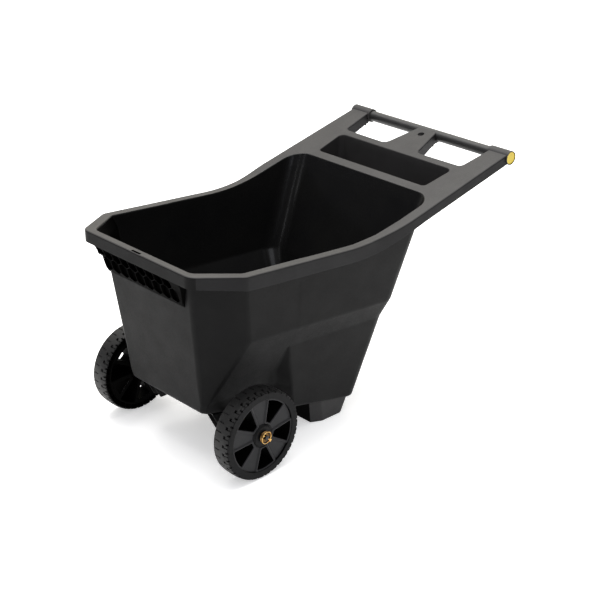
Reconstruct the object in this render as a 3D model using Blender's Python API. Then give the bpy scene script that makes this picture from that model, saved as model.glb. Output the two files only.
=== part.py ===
# Yard cart: a one-piece poly tub with a rolled rim that sweeps up into two
# rails and a deck, a cross tube as the push handle, and two spoked poly wheels
# on a steel axle under the nose.
# Metres, +Z up, +X from the nose towards the handle, -Y is the near side.
# Origin: bottom centre of the whole object, on the ground.
import math
import bpy
import bmesh
from mathutils import Vector

for ob in list(bpy.data.objects):
    bpy.data.objects.remove(ob, do_unlink=True)

# ---------------------------------------------------------------- dimensions
NOSE_X = -0.5723          # outer edge of the rim at the nose
HANDLE_X = 0.5517         # handle tube centre line
HANDLE_Z = 0.6676
TUBE_R = 0.0160           # handle tube outer radius
TUBE_WALL = 0.0016
SLEEVE_R = 0.0206         # tube sockets at the rail ends
SLEEVE_Y0 = 0.2360        # inner end of a socket
SLEEVE_Y1 = 0.3115        # outer end of a socket
GAP = 0.0003              # gap between touching pieces

TUB_TILT = 0.0937         # rim falls this much per metre aft
DECK_RISE = 0.2277        # rails and deck rise this much per metre aft
RIM_Z = 0.5598            # rim plane where x = 0
DECK_Z = 0.5574           # deck plane where x = 0
BEND_X = (RIM_Z - DECK_Z) / (TUB_TILT + DECK_RISE)
BEND_HALF = 0.1000        # the sweep from rim to rail runs this far each way
FLOOR_FALL = 0.235        # tub floor falls this much per metre aft
WALL = 0.0040
TOP_T = 0.0035            # thickness of the rim and deck plate
SKIRT_T = 0.0034

MOUTH_REAR_X = 0.2585     # inner rear edge of the tub mouth
TRAY_X0, TRAY_X1 = 0.2920, 0.3987
TRAY_Y0, TRAY_Y1 = 0.2110, 0.2210
TRAY_DEPTH = 0.085
OPEN_X0 = 0.4260          # front edge of the hand openings
OPEN_Y_FRONT, OPEN_Y_REAR = 0.2290, 0.2430
BRIDGE_Y_FRONT, BRIDGE_Y_REAR = 0.0640, 0.0330
HANG_HOLE_X, HANG_HOLE_R = 0.5125, 0.0098

WHEEL_X = -0.3995
WHEEL_R = 0.1270
WHEEL_Z = WHEEL_R
WHEEL_W = 0.0560
WHEEL_Y = 0.2890          # outer face of a wheel
AXLE_R = 0.0064
BRACKET_Y0, BRACKET_Y1 = 0.1180, 0.1480

FOOT_X0, FOOT_X1 = -0.1105, 0.0010      # sole of a foot
FOOT_Y0, FOOT_Y1 = 0.0950, 0.1865
FOOT_WALL = 0.0060

# Ribbed grip under the nose: its front face as (x, z), top to bottom
GRIP_FRONT = [(-0.5655, 0.5800), (-0.5575, 0.5660), (-0.5525, 0.5560), (-0.5470, 0.5402), (-0.5427, 0.5241),
              (-0.5375, 0.5080), (-0.5300, 0.4950)]
GRIP_NEAR_Y, GRIP_FAR_Y = -0.1560, 0.1725
CELL_PITCH = 0.0348       # hexagon cells in the grip
CELL_RIB = 0.0026
CELL_Z = 0.5212           # centre of the lower row
CELL_TOP = 0.5850         # the upper row runs up behind the skirt
WING_Y = 0.1885

# ------------------------------------------------------------------ helpers
def z_top(x):
    """Height of the rim and deck surface above the ground, a function of x only."""
    d = x - BEND_X
    if d <= -BEND_HALF:
        return RIM_Z - TUB_TILT * x
    if d >= BEND_HALF:
        return DECK_Z + DECK_RISE * x
    return RIM_Z - TUB_TILT * x + (TUB_TILT + DECK_RISE) * (d + BEND_HALF) ** 2 / (4 * BEND_HALF)


def z_line(zeta, x):
    """Height of a line that runs parallel to the front rim, zeta high at x = -0.472."""
    return zeta - 0.0925 * (x + 0.472)


def z_floor(x):
    return 0.160 - FLOOR_FALL * (x + 0.472)


def smooth(t):
    t = max(0.0, min(1.0, t))
    return t * t * (3 - 2 * t)


def lerp(a, b, t):
    return a + (b - a) * t


def rounded(points, seg=5):
    """points: (x, y, r) of an open or closed chain; returns the chain with round corners."""
    out = []
    n = len(points)
    for i, (x, y, r) in enumerate(points):
        if r <= 0 or i == 0 or i == n - 1:
            out.append((x, y))
            continue
        p = Vector((x, y))
        a = Vector(points[i - 1][:2]) - p
        b = Vector(points[i + 1][:2]) - p
        ang = a.angle(b)
        t = min(r / math.tan(ang / 2), a.length * 0.49, b.length * 0.49)
        rr = t * math.tan(ang / 2)
        a.normalize()
        b.normalize()
        c = p + (a + b).normalized() * (rr / math.sin(ang / 2))
        s, e = p + a * t - c, p + b * t - c
        sweep = s.angle(e)
        for k in range(seg + 1):
            f = k / seg
            q = (s * math.sin((1 - f) * sweep) + e * math.sin(f * sweep)) / math.sin(sweep)
            out.append((c.x + q.x, c.y + q.y))
    return out


def mirror_chain(half):
    """half runs from y = 0 at the nose round the +Y side to y = 0 at the rear."""
    if abs(half[0][0] - half[1][0]) < 1e-7:
        half = half[1:]
    if abs(half[-1][0] - half[-2][0]) < 1e-7:
        half = half[:-1]
    return half + [(x, -y) for x, y in reversed(half) if y > 1e-9]


def offset_loop(loop, d):
    """Moves a closed loop inwards by d (the loop runs clockwise seen from above)."""
    n = len(loop)
    out = []
    for i in range(n):
        p0, p1, p2 = Vector(loop[i - 1]), Vector(loop[i]), Vector(loop[(i + 1) % n])
        e1, e2 = (p1 - p0).normalized(), (p2 - p1).normalized()
        n1, n2 = Vector((e1.y, -e1.x)), Vector((e2.y, -e2.x))
        m = n1 + n2
        m = m / max(0.35, m.length_squared / 2)
        q = p1 + m * d
        out.append((q.x, q.y))
    return out


def new_object(name, mesh, mat=None, smooth_angle=35):
    ob = bpy.data.objects.new(name, mesh)
    bpy.context.scene.collection.objects.link(ob)
    if mat:
        mesh.materials.clear()
        mesh.materials.append(mat)
    mesh.shade_smooth()
    mesh.set_sharp_from_angle(angle=math.radians(smooth_angle))
    return ob


def mesh_from(name, verts, faces):
    me = bpy.data.meshes.new(name)
    me.from_pydata([tuple(v) for v in verts], [], [tuple(f) for f in faces])
    bm = bmesh.new()
    bm.from_mesh(me)
    bmesh.ops.remove_doubles(bm, verts=bm.verts, dist=1e-6)
    bmesh.ops.recalc_face_normals(bm, faces=bm.faces)
    bm.to_mesh(me)
    bm.free()
    return me


def loft(name, rings, closed_tube=False):
    """Joins rings of equal length; the first and last are capped, or joined for a ring solid."""
    verts, faces = [], []
    n = len(rings[0])
    for r in rings:
        verts += r
    m = len(rings)
    for j in range(m if closed_tube else m - 1):
        a, b = j * n, ((j + 1) % m) * n
        for i in range(n):
            k = (i + 1) % n
            faces.append((a + i, a + k, b + k, b + i))
    if not closed_tube:
        faces.append(tuple(range(n)))
        faces.append(tuple((m - 1) * n + i for i in reversed(range(n))))
    return mesh_from(name, verts, faces)


def prism(name, loop, w0, w1, loop2=None):
    loop2 = loop2 or loop
    return loft(name, [[(x, y, w0) for x, y in loop], [(x, y, w1) for x, y in loop2]])


def turned(name, profile, seg, axis="Y", centre=(0, 0, 0)):
    """Solid of revolution; profile is a closed list of (radius, position along the axis)."""
    rings = []
    for k in range(seg):
        a = 2 * math.pi * k / seg
        ring = []
        for r, t in profile:
            if axis == "Y":
                ring.append((centre[0] + r * math.cos(a), centre[1] + t, centre[2] + r * math.sin(a)))
            else:
                ring.append((centre[0] + r * math.cos(a), centre[1] + r * math.sin(a), centre[2] + t))
        rings.append(ring)
    return loft(name, rings, closed_tube=True)


def combine(target, tool, operation, keep=False):
    """One exact Boolean between two mesh data blocks; returns a new mesh."""
    a = bpy.data.objects.new("a", target)
    b = bpy.data.objects.new("b", tool)
    coll = bpy.context.scene.collection
    coll.objects.link(a)
    coll.objects.link(b)
    mod = a.modifiers.new("cut", "BOOLEAN")
    mod.object = b
    mod.operation = operation
    mod.solver = "EXACT"
    bpy.context.view_layer.update()
    dg = bpy.context.evaluated_depsgraph_get()
    me = bpy.data.meshes.new_from_object(a.evaluated_get(dg))
    bpy.data.objects.remove(a)
    bpy.data.objects.remove(b)
    return me


def material(name, colour, rough, metal=0.0):
    m = bpy.data.materials.new(name)
    m.use_nodes = True
    b = m.node_tree.nodes["Principled BSDF"]
    b.inputs["Base Color"].default_value = (*colour, 1)
    b.inputs["Roughness"].default_value = rough
    b.inputs["Metallic"].default_value = metal
    m.diffuse_color = (*colour, 1)
    return m


POLY = material("black_poly", (0.030, 0.030, 0.031), 0.55)
TUBE = material("black_tube", (0.035, 0.035, 0.036), 0.45)
WHEEL = material("wheel_poly", (0.040, 0.040, 0.041), 0.60)
YELLOW = material("yellow_plug", (0.72, 0.55, 0.08), 0.45)
STEEL = material("steel", (0.55, 0.55, 0.55), 0.35, 1.0)
ZINC = material("yellow_zinc", (0.75, 0.58, 0.28), 0.30, 1.0)
NYLON = material("nylon", (0.05, 0.05, 0.05), 0.50)

# ------------------------------------------------- outlines seen from above
SEG = 5


def side_y(x):
    """Half width of the rim's outer edge along the sides."""
    return 0.2955 + 0.0020 * smooth((x + 0.40) / 0.33) + 0.0105 * smooth((x - 0.0085) / 0.15)


def outer_half():
    pts = [(NOSE_X, 0, 0), (NOSE_X, 0.2183, 0.036), (-0.4516, 0.2950, 0.030)]
    xs = [-0.38, -0.25, -0.12, -0.02, 0.03, 0.06, 0.09, 0.12, 0.16]
    pts += [(x, side_y(x), 0) for x in xs]
    pts += [(HANDLE_X + 0.001, side_y(0.5), 0.0)]
    return rounded(pts, SEG)


def open_y(x):
    """Outer and inner edge of a hand opening."""
    t = (x - OPEN_X0) / (HANDLE_X - OPEN_X0)
    return lerp(OPEN_Y_FRONT, OPEN_Y_REAR, t), lerp(BRIDGE_Y_FRONT, BRIDGE_Y_REAR, t)


def notch():
    """One hand opening, open towards the tube, from the rail round to the bridge."""
    xe, xf = HANDLE_X + 0.001, OPEN_X0
    chain = [(xe, open_y(xe)[0], 0), (xf + 0.001, open_y(xf)[0], 0.014), (xf - 0.001, open_y(xf)[1], 0.018)]
    chain += [(xe, open_y(xe)[1], 0), (xe, 0, 0)]
    return rounded(chain, SEG)


def skirt_depth(x, y):
    if x > 0.30 and abs(y) < 0.26:
        return 0.036 if x < 0.52 else 0.031
    return lerp(0.040, 0.030, smooth(x / 0.2)) - 0.0057 * (1 - smooth((x + 0.57) / 0.17))


# -------------------------------------------------------- tub wall sections
# One row per level, rim to floor: height, nose x and y, chamfer run, side y at
# the wheel recess, at the panel and at the rear corner, rear x, corner radius,
# x of the recess end and of the panel edge.
LEVELS = [
    (lambda x: z_top(x) - 0.0018, None, 0.1978, 1.50, 0.2705, 0.2722, 0.2765, 0.2630, 0.060, -0.2460, -0.2360),
    (lambda x: z_top(x) - 0.0340, None, None, 1.135, 0.2690, 0.2697, 0.2735, 0.2490, 0.060, -0.2460, -0.2360),
    (lambda x: z_line(0.3985, x), None, None, 1.135, 0.2560, 0.2565, 0.2590, 0.1505, 0.058, -0.2460, -0.2360),
    (lambda x: z_line(0.3370, x), None, None, 1.135, 0.2277, 0.2277, 0.2295, 0.1345, 0.052, -0.2500, -0.2430),
    (lambda x: z_line(0.2560, x), None, None, 1.135, 0.1905, 0.2166, 0.2178, 0.1095, 0.050, -0.2680, -0.2325),
    (lambda x: z_line(0.1960, x), None, None, 1.135, 0.1628, 0.2084, 0.2092, 0.0895, 0.048, -0.2440, -0.2200),
    (lambda x: z_floor(x) + 0.011, None, None, 1.135, 0.1530, 0.1970, 0.1980, 0.0550, 0.044, -0.2280, -0.2070),
    (lambda x: z_floor(x) + 0.004, None, None, 1.135, 0.1500, 0.1950, 0.1960, 0.0525, 0.042, -0.2240, -0.2060),
    (lambda x: z_floor(x), None, None, 1.135, 0.1425, 0.1893, 0.1903, 0.0460, 0.036, -0.2200, -0.2050),
]
N_SIDE_A, N_SIDE_B = 5, 4


def tub_ring(level, inset):
    """One ring of the tub wall; inset moves it inwards."""
    zf, xn, yn, run, ya, yp, yr, xr, rr, valley, edge = LEVELS[level]
    last = len(LEVELS) - 1
    zn = zf(-0.50)
    drop = 0.570 - zn
    xn = (-0.5385 + 0.122 * drop) if level else -0.5508
    xn += {last - 1: 0.0050, last: 0.0160}.get(level, 0.0) + inset
    yn = (yn or 0.1740 - 0.065 * drop) - inset * 0.45
    yn = min(yn, ya - 0.010)
    ya, yp, yr, xr = ya - inset, yp - inset, yr - inset, xr - inset
    if inset > 0:
        valley += inset * 0.4
        edge += inset * 0.9
        rr -= inset
    xc = xn + (ya - yn) * run
    facet = [(lerp(xn, xc, t), lerp(yn, ya, t), 0) for t in (0.35, 0.50, 0.65)]
    head = rounded([(xn, 0, 0), (xn, yn, 0.022)] + facet + [(xc, ya, 0.026), (valley, ya, 0)], SEG)[:-1]
    x0 = head[-1][0]
    side = [(lerp(x0, valley, k / N_SIDE_A), ya) for k in range(1, N_SIDE_A + 1)]
    side.append((edge, yp))
    x1 = xr - rr
    side += [(lerp(edge, x1, k / N_SIDE_B), lerp(yp, yr, k / N_SIDE_B)) for k in range(1, N_SIDE_B)]
    tail = rounded([(edge, yp, 0), (xr, yr, rr), (xr, 0, 0)], 8)[1:]
    loop = mirror_chain(head + side + tail)
    lift = inset if level == last else 0.0
    return [(x, y, zf(x) + lift) for x, y in loop]


def ladder_cap(loop, start, flip):
    """Strips across a closed mirrored loop, one per pair of mirrored edges."""
    n = len(loop)
    shift = 0 if loop[0][1] < 1e-9 else 1
    half = [i for i in range(n) if loop[i][1] > -1e-9]
    faces = []
    for a, b in zip(half, half[1:]):
        c, d = [(n - shift - i) % n if loop[i][1] > 1e-9 else i for i in (b, a)]
        f = [a, b, c, d]
        f = [start + v for k, v in enumerate(f) if v not in f[:k]]
        faces.append(tuple(reversed(f)) if flip else tuple(f))
    return faces


def loft_mirrored(name, rings):
    """Loft of mirrored loops, capped with strips that run straight across."""
    verts, faces = [], []
    n, m = len(rings[0]), len(rings)
    for r in rings:
        verts += r
    for j in range(m - 1):
        for i in range(n):
            k = (i + 1) % n
            a, b, c, d = j * n + i, j * n + k, (j + 1) * n + k, (j + 1) * n + i
            va, vb, vc, vd = [Vector(verts[v]) for v in (a, b, c, d)]
            if abs((vb - va).cross(vc - va).normalized().dot(vd - va)) < 2e-5:
                faces.append((a, b, c, d))
            elif rings[0][i][1] + rings[0][k][1] > 0:
                faces += [(a, b, c), (a, c, d)]
            else:
                faces += [(a, b, d), (b, c, d)]
    faces += ladder_cap(rings[0], 0, True) + ladder_cap(rings[-1], (m - 1) * n, False)
    return mesh_from(name, verts, faces)


def tub_solid(name, inset):
    rings = [tub_ring(level, inset) for level in range(len(LEVELS))]
    if inset > 0:
        rings.insert(0, [(x, y, z_top(x) + 0.03) for x, y, z in rings[0]])
    return loft_mirrored(name, rings)


def stations():
    return [-0.46, -0.30, -0.18] + [BEND_X + BEND_HALF * (k - 5) / 5 for k in range(11)] + [0.20]


def frame_lid(name):
    """Rim, rails and deck: a plate with a skirt all round, bent to the top surface."""
    loop = mirror_chain(outer_half() + notch())
    inner = offset_loop(loop, SKIRT_T)
    depth = [skirt_depth(x, y) for x, y in loop]
    top = [(x, y, 0.0) for x, y in loop]
    low = [(x, y, -d) for (x, y), d in zip(loop, depth)]
    low_in = [(x, y, -d) for (x, y), d in zip(inner, depth)]
    under = [(x, y, -TOP_T) for x, y in inner]
    me = loft(name, [top, low, low_in, under])
    bm = bmesh.new()
    bm.from_mesh(me)
    for x in stations():
        geom = bm.verts[:] + bm.edges[:] + bm.faces[:]
        bmesh.ops.bisect_plane(bm, geom=geom, dist=1e-6, plane_co=(x, 0, 0), plane_no=(1, 0, 0))
    for v in bm.verts:
        v.co.z += z_top(v.co.x)
    bmesh.ops.triangulate(bm, faces=[f for f in bm.faces if len(f.verts) > 4])
    bm.to_mesh(me)
    bm.free()
    return me


def tray_loop(g, drop=0.0):
    x0, x1 = TRAY_X0 - g + drop * 0.3, TRAY_X1 + g - drop
    half = [(x0, 0, 0), (x0, TRAY_Y0 + g - drop * 0.4, 0.012 + g), (x1, TRAY_Y1 + g - drop * 0.4, 0.016 + g), (x1, 0, 0)]
    return mirror_chain(rounded(half, 4))


def circle(cx, cy, r, n):
    return [(cx - r * math.cos(2 * math.pi * k / n), cy + r * math.sin(2 * math.pi * k / n)) for k in range(n)]


def under_top(name, loop, w0, w1, loop2=None):
    """Prism whose ends follow the top surface, w0 and w1 below it."""
    loop2 = loop2 or loop
    return loft_mirrored(name, [[(x, y, z_top(x) + w0) for x, y in loop], [(x, y, z_top(x) + w1) for x, y in loop2]])


def box(name, x0, x1, y0, y1, z0, z1):
    return prism(name, [(x0, y0), (x0, y1), (x1, y1), (x1, y0)], z0, z1)


def rod(name, r, y0, y1, x, z, n=32):
    """Cylinder along Y."""
    rings = []
    for y in (y0, y1):
        rings.append([(x + r * math.cos(2 * math.pi * k / n), y, z + r * math.sin(2 * math.pi * k / n)) for k in range(n)])
    return loft(name, rings)


def post(name, r, z0, z1, x, y, n=16, tilt=0.0, flip=False):
    """Cylinder along Z, or leaning by tilt about Y; z0 and z1 count from (x, y, 0) along it."""
    s, c = math.sin(tilt), math.cos(tilt)
    rings = []
    for z in (z0, z1):
        ring = []
        for k in range(n):
            px, py = r * math.cos(2 * math.pi * k / n), r * math.sin(2 * math.pi * k / n)
            ring.append((x + px * c + z * s, y + py, -px * s + z * c))
        rings.append(ring)
    return loft(name, rings)


def join(meshes):
    bm = bmesh.new()
    for me in meshes:
        bm.from_mesh(me)
    out = bpy.data.meshes.new("joined")
    bm.to_mesh(out)
    bm.free()
    return out


def mirrored(me):
    out = me.copy()
    for v in out.vertices:
        v.co.y = -v.co.y
    out.flip_normals()
    return out


def moved(me, dx, dy, dz):
    out = me.copy()
    for v in out.vertices:
        v.co += Vector((dx, dy, dz))
    return out


def both(me):
    return join([me, mirrored(me)])


def foot_plan(g, z, seg):
    """Outline of one foot at height z, inset by g; it widens upwards, most of all at the rear."""
    x0, x1, y0, y1 = FOOT_X0 - 0.10 * z + g, FOOT_X1 + 0.50 * z - g, FOOT_Y0 - 0.03 * z + g, FOOT_Y1 + 0.02 * z - g
    ym = (y0 + y1) / 2
    pts = [(x0, ym, 0), (x0, y1 - 0.0180, 0.003), (x0 + 0.0310, y1 - 0.0022, 0.020), (x1, y1, 0.014 - g / 2), (x1, y0, 0.012 - g / 2), (x0, y0, 0.012 - g / 2), (x0, ym, 0)]
    return rounded(pts, seg)[:-1]


def foot_top(g, z0, off, seg):
    """The foot's walls run on from height z0 until they meet the tub's floor."""
    low, high = foot_plan(g, z0, seg), foot_plan(g, 0.06, seg)
    out = []
    for (xa, ya), (xb, yb) in zip(low, high):
        z = 0.06
        for k in range(12):
            t = (z - z0) / (0.06 - z0)
            z = z_floor(lerp(xa, xb, t)) + off
        t = (z - z0) / (0.06 - z0)
        out.append((lerp(xa, xb, t), lerp(ya, yb, t), z))
    return out


def foot(name, g, z0, z1_off):
    loop = foot_plan(g, z0, 4)
    return loft(name, [[(x, y, z0) for x, y in loop], foot_top(g, z0, z1_off, 4)])


def foot_cells():
    """The four hollow cells inside one foot, open at the sole."""
    core = foot("core", FOOT_WALL, -0.01, -0.0012)
    xm, ym, h = (FOOT_X0 + FOOT_X1) / 2, (FOOT_Y0 + FOOT_Y1) / 2, 0.0025
    core = combine(core, box("rib_x", xm - h, xm + h, 0.05, 0.25, -0.02, 0.2), "DIFFERENCE")
    return combine(core, box("rib_y", -0.2, 0.1, ym - h, ym + h, -0.02, 0.2), "DIFFERENCE")


def nose_x(z):
    """Outer face of the nose wall."""
    return -0.5385 + 0.122 * (0.570 - z)


def grip_block():
    prof = [(GRIP_FRONT[0][0], z_top(GRIP_FRONT[0][0]) - 0.0018)] + GRIP_FRONT
    prof += [(-0.5000, 0.4950), (-0.5000, z_top(-0.5) - 0.0018)]
    near = [(x, GRIP_NEAR_Y - 0.28 * (z - 0.500), z) for x, z in prof]
    return loft("grip", [near, [(x, GRIP_FAR_Y, z) for x, z in prof]])


def grip_wing():
    """The upper row's last cell stands past the far end of the lower row."""
    prof = [(-0.5652, z_top(-0.5652) - 0.0020), (-0.5652, 0.5800), (-0.5572, 0.5660), (-0.5522, 0.5560)]
    rings = []
    for y in (0.1690, WING_Y):
        ring = prof + [(-0.5487, 0.5445), (-0.5003, 0.5445), (-0.5003, z_top(-0.5003) - 0.0020)]
        rings.append([(px, y, pz) for px, pz in ring])
    return loft("wing", rings)


def cells():
    r = (CELL_PITCH - CELL_RIB) / math.sqrt(3)
    out = []
    for row, first, last in ((0, -3.5, 4.5), (1, -3.0, 4.0)):
        cz = CELL_Z + row * CELL_PITCH * math.sqrt(3) / 2
        k = first
        while k <= last:
            cy = k * CELL_PITCH
            hexa = [(cy + r * math.sin(math.pi * j / 3), cz + r * math.cos(math.pi * j / 3)) for j in range(6)]
            if row:
                hexa = [(hexa[1][0], CELL_TOP), hexa[2], hexa[3], hexa[4], (hexa[5][0], CELL_TOP)]
            hexa = clip(hexa, 1, GRIP_FAR_Y - 0.0026)
            out.append(loft("cell", [[(-0.5684, y, z) for y, z in hexa], [(nose_x(z) + 0.0012, y, z) for y, z in hexa]]))
            k += 1
    last = [(0.1582, CELL_TOP), (0.1582, 0.5483), (WING_Y - CELL_RIB, 0.5517), (WING_Y - CELL_RIB, CELL_TOP)]
    out.append(loft("cell", [[(-0.5684, y, z) for y, z in last], [(nose_x(z) + 0.0012, y, z) for y, z in last]]))
    return join(out)


def clip(poly, s, lim):
    """Keeps the part of a (y, z) polygon with s*y <= lim."""
    out = []
    for i, p in enumerate(poly):
        q = poly[(i + 1) % len(poly)]
        pin, qin = s * p[0] <= lim, s * q[0] <= lim
        if pin:
            out.append(p)
        if pin != qin:
            t = (s * lim - p[0]) / (q[0] - p[0])
            out.append((s * lim, lerp(p[1], q[1], t)))
    return out


PLUG_Y = 0.3058           # inner face of a plug's disc
SCREW_Y = 0.2620          # screw through a socket into the tube
BOLT_XS = (WHEEL_X - 0.034, WHEEL_X + 0.034)
BOLT_Y = 0.1290
FLOOR_TILT = math.atan(FLOOR_FALL)


def build_body():
    b = frame_lid("frame")
    b = combine(b, tub_solid("tub_out", 0.0), "UNION")
    b = combine(b, grip_block(), "UNION")
    b = combine(b, grip_wing(), "UNION")
    b = combine(b, under_top("tray_out", tray_loop(0.003), -0.0015, -TRAY_DEPTH - 0.003, tray_loop(0.003, 0.008)), "UNION")
    b = combine(b, under_top("hang_boss", circle(HANG_HOLE_X, 0, HANG_HOLE_R + 0.003, 20), -0.0012, -0.014), "UNION")
    b = combine(b, both(rod("socket", SLEEVE_R, SLEEVE_Y0, SLEEVE_Y1, HANDLE_X, HANDLE_Z)), "UNION")
    yc = BRIDGE_Y_REAR - 0.0012
    cradle = prism("cradle", [(0.5290, -yc - 0.004), (0.5290, yc + 0.004), (0.5625, yc), (0.5625, -yc)], 0.6462, 0.6635)
    b = combine(b, cradle, "UNION")
    b = combine(b, both(foot("foot", 0.0, 0.0, 0.0020)), "UNION")
    b = combine(b, tub_solid("tub_in", WALL), "DIFFERENCE")
    b = combine(b, under_top("tray_in", tray_loop(0.0), 0.01, -TRAY_DEPTH, tray_loop(0.0, 0.008)), "DIFFERENCE")
    b = combine(b, under_top("hang", circle(HANG_HOLE_X, 0, HANG_HOLE_R, 20), 0.01, -0.05), "DIFFERENCE")
    b = combine(b, box("slot", -0.5680, -0.5615, -0.0190, 0.0165, 0.55, 0.65), "DIFFERENCE")
    b = combine(b, cells(), "DIFFERENCE")
    b = combine(b, rod("tube_way", TUBE_R + GAP, -0.3055, 0.3055, HANDLE_X, HANDLE_Z), "DIFFERENCE")
    b = combine(b, both(rod("plug_way", 0.0187, 0.3054, 0.3200, HANDLE_X, HANDLE_Z)), "DIFFERENCE")
    b = combine(b, both(foot_cells()), "DIFFERENCE")
    ways = [post("screw_way", 0.0025, 0.6400, HANDLE_Z, HANDLE_X, SCREW_Y)]
    ways += [post("bolt_way", 0.0033, 0.00, 0.30, bolt_base(x)[0], BOLT_Y, tilt=FLOOR_TILT) for x in BOLT_XS]
    return combine(b, both(join(ways)), "DIFFERENCE")


def bolt_base(x):
    """Foot of a leaning bolt axis at z = 0 that meets the floor at x, and its length there."""
    z = z_floor(x)
    return x - z * math.tan(FLOOR_TILT), z / math.cos(FLOOR_TILT)


new_object("tub_and_deck", build_body(), POLY, 32)

# ------------------------------------------------------------------- handle
tube = loft("tube", [
    [(HANDLE_X + r * math.cos(a), y, HANDLE_Z + r * math.sin(a)) for a in [2 * math.pi * k / 32 for k in range(32)]]
    for r, y in ((TUBE_R, -0.3055), (TUBE_R, 0.3055), (TUBE_R - TUBE_WALL, 0.3055), (TUBE_R - TUBE_WALL, -0.3055))], closed_tube=True)
tube = combine(tube, both(post("screw_way", 0.0025, 0.6400, HANDLE_Z, HANDLE_X, SCREW_Y)), "DIFFERENCE")
new_object("handle_tube", tube, TUBE)


def lathe_y(name, profile, n, x=0.0, z=0.0, bore=False):
    """Turned solid along Y from (radius, y) pairs, with or without a bore."""
    rings = [[(x + r * math.cos(2 * math.pi * k / n), y, z + r * math.sin(2 * math.pi * k / n)) for k in range(n)] for r, y in profile]
    return loft(name, rings, closed_tube=bore)


plug = lathe_y("plug", [(0.0134, 0.2900), (0.0140, 0.2910), (0.0140, PLUG_Y), (0.0184, PLUG_Y), (0.0184, 0.3088), (0.0174, 0.3102)],
               32, HANDLE_X, HANDLE_Z)
new_object("handle_plug_far", plug, YELLOW)
new_object("handle_plug_near", mirrored(plug), YELLOW)

z_low = HANDLE_Z - SLEEVE_R
screw = lathe_y("screw", [(0.0030, z_low - 0.0034), (0.0042, z_low - 0.0026), (0.0042, z_low - GAP), (0.0022, z_low - GAP), (0.0022, z_low + 0.0085), (0.0008, z_low + 0.0110)], 16)
for v in screw.vertices:
    v.co = Vector((v.co.x, -v.co.z, v.co.y))
for side, s in (("far", 1), ("near", -1)):
    new_object("handle_screw_" + side, moved(screw, HANDLE_X, s * SCREW_Y, 0), STEEL)

# -------------------------------------------------------- axle and brackets
AXLE_END = 0.3045
PIN_Y = 0.2990            # a linch pin's centre line
PIN_R = 0.0022
PIN_DIP = math.radians(-43)     # its head points aft and down
RING_R, WIRE_R = 0.0167, 0.0013
HEAD_S0, HEAD_S1 = 0.0136, 0.0214
axle = lathe_y("axle", [(AXLE_R - 0.001, -AXLE_END), (AXLE_R, -AXLE_END + 0.001), (AXLE_R, AXLE_END - 0.001), (AXLE_R - 0.001, AXLE_END)], 36, WHEEL_X, WHEEL_Z)


def shaft_z(name, profile, n):
    me = lathe_y(name, profile, n)
    for v in me.vertices:
        v.co = Vector((v.co.x, -v.co.z, v.co.y))
    return me


def on_pin(me):
    """Turns a mesh built along +X at y = 0 on to the far linch pin's line."""
    c, s = math.cos(PIN_DIP), math.sin(PIN_DIP)
    for v in me.vertices:
        x, z = v.co.x, v.co.z
        v.co = Vector((x * c - z * s + WHEEL_X, v.co.y + PIN_Y, x * s + z * c + WHEEL_Z))
    return me


def shaft_x(name, profile, n):
    me = lathe_y(name, profile, n)
    for v in me.vertices:
        v.co = Vector((v.co.y, -v.co.x, v.co.z))
    return me


def ring_point(a, b, wire):
    """Point of the snap ring: a round the ring from the pin's head, b round the wire."""
    r = RING_R + wire * math.cos(b)
    x = 0.0009 + r * math.cos(a)
    return (x, wire * math.sin(b) + 0.0019 * (1 - x / 0.0176), r * math.sin(a))


def snap_ring(name, wire, a0, n):
    rings = []
    for k in range(n + 1):
        a = a0 + (2 * math.pi - 2 * a0) * k / n
        rings.append([ring_point(a, 2 * math.pi * j / 8, wire) for j in range(8)])
    return loft(name, rings)


axle = combine(axle, both(on_pin(shaft_x("way", [(PIN_R + GAP, -0.02), (PIN_R + GAP, 0.02)], 16))), "DIFFERENCE")
new_object("axle", axle, STEEL)

pin = shaft_x("pin", [(PIN_R - 0.0007, -0.0163), (PIN_R, -0.0153), (PIN_R, HEAD_S0 + 0.0020)], 16)
head = [(HEAD_S0, 0.0030), (HEAD_S0 + 0.0010, 0.0040), (HEAD_S1 - 0.0020, 0.0040), (HEAD_S1, 0.0022)]
head = [(s, h) for s, h in head] + [(s, -h) for s, h in reversed(head)]
head = loft("head", [[(s, y, h) for s, h in head] for y in (-0.0030, 0.0030)])
pin = combine(pin, head, "UNION")
HOLE_A = math.asin(0.0025 / RING_R)      # the ring's ends go this deep into the head
hole = []
for sign in (1, -1):
    rings = [[ring_point(sign * a, 2 * math.pi * j / 8, WIRE_R + GAP) for j in range(8)] for a in (HOLE_A - 0.02, 0.30, 0.36)]
    hole.append(loft("hole", rings))
pin = on_pin(combine(pin, join(hole), "DIFFERENCE"))
new_object("linch_pin_far", pin, ZINC)
new_object("linch_pin_near", mirrored(pin), ZINC)

ring = on_pin(snap_ring("ring", WIRE_R, HOLE_A, 30))
new_object("linch_ring_far", ring, ZINC)
new_object("linch_ring_near", mirrored(ring), ZINC)

washer = lathe_y("washer", [(0.0165, 0.2925), (0.0165, 0.2949), (0.0067, 0.2949), (0.0067, 0.2925)], 32, WHEEL_X, WHEEL_Z, bore=True)
new_object("washer_far", washer, ZINC)
new_object("washer_near", mirrored(washer), ZINC)

spacer = lathe_y("spacer", [(0.0098, BRACKET_Y1 + 0.0005), (0.0098, 0.2286), (0.0067, 0.2286), (0.0067, BRACKET_Y1 + 0.0005)], 24, WHEEL_X, WHEEL_Z, bore=True)
new_object("spacer_far", spacer, NYLON)
new_object("spacer_near", mirrored(spacer), NYLON)

PLATE = 0.0030


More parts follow.
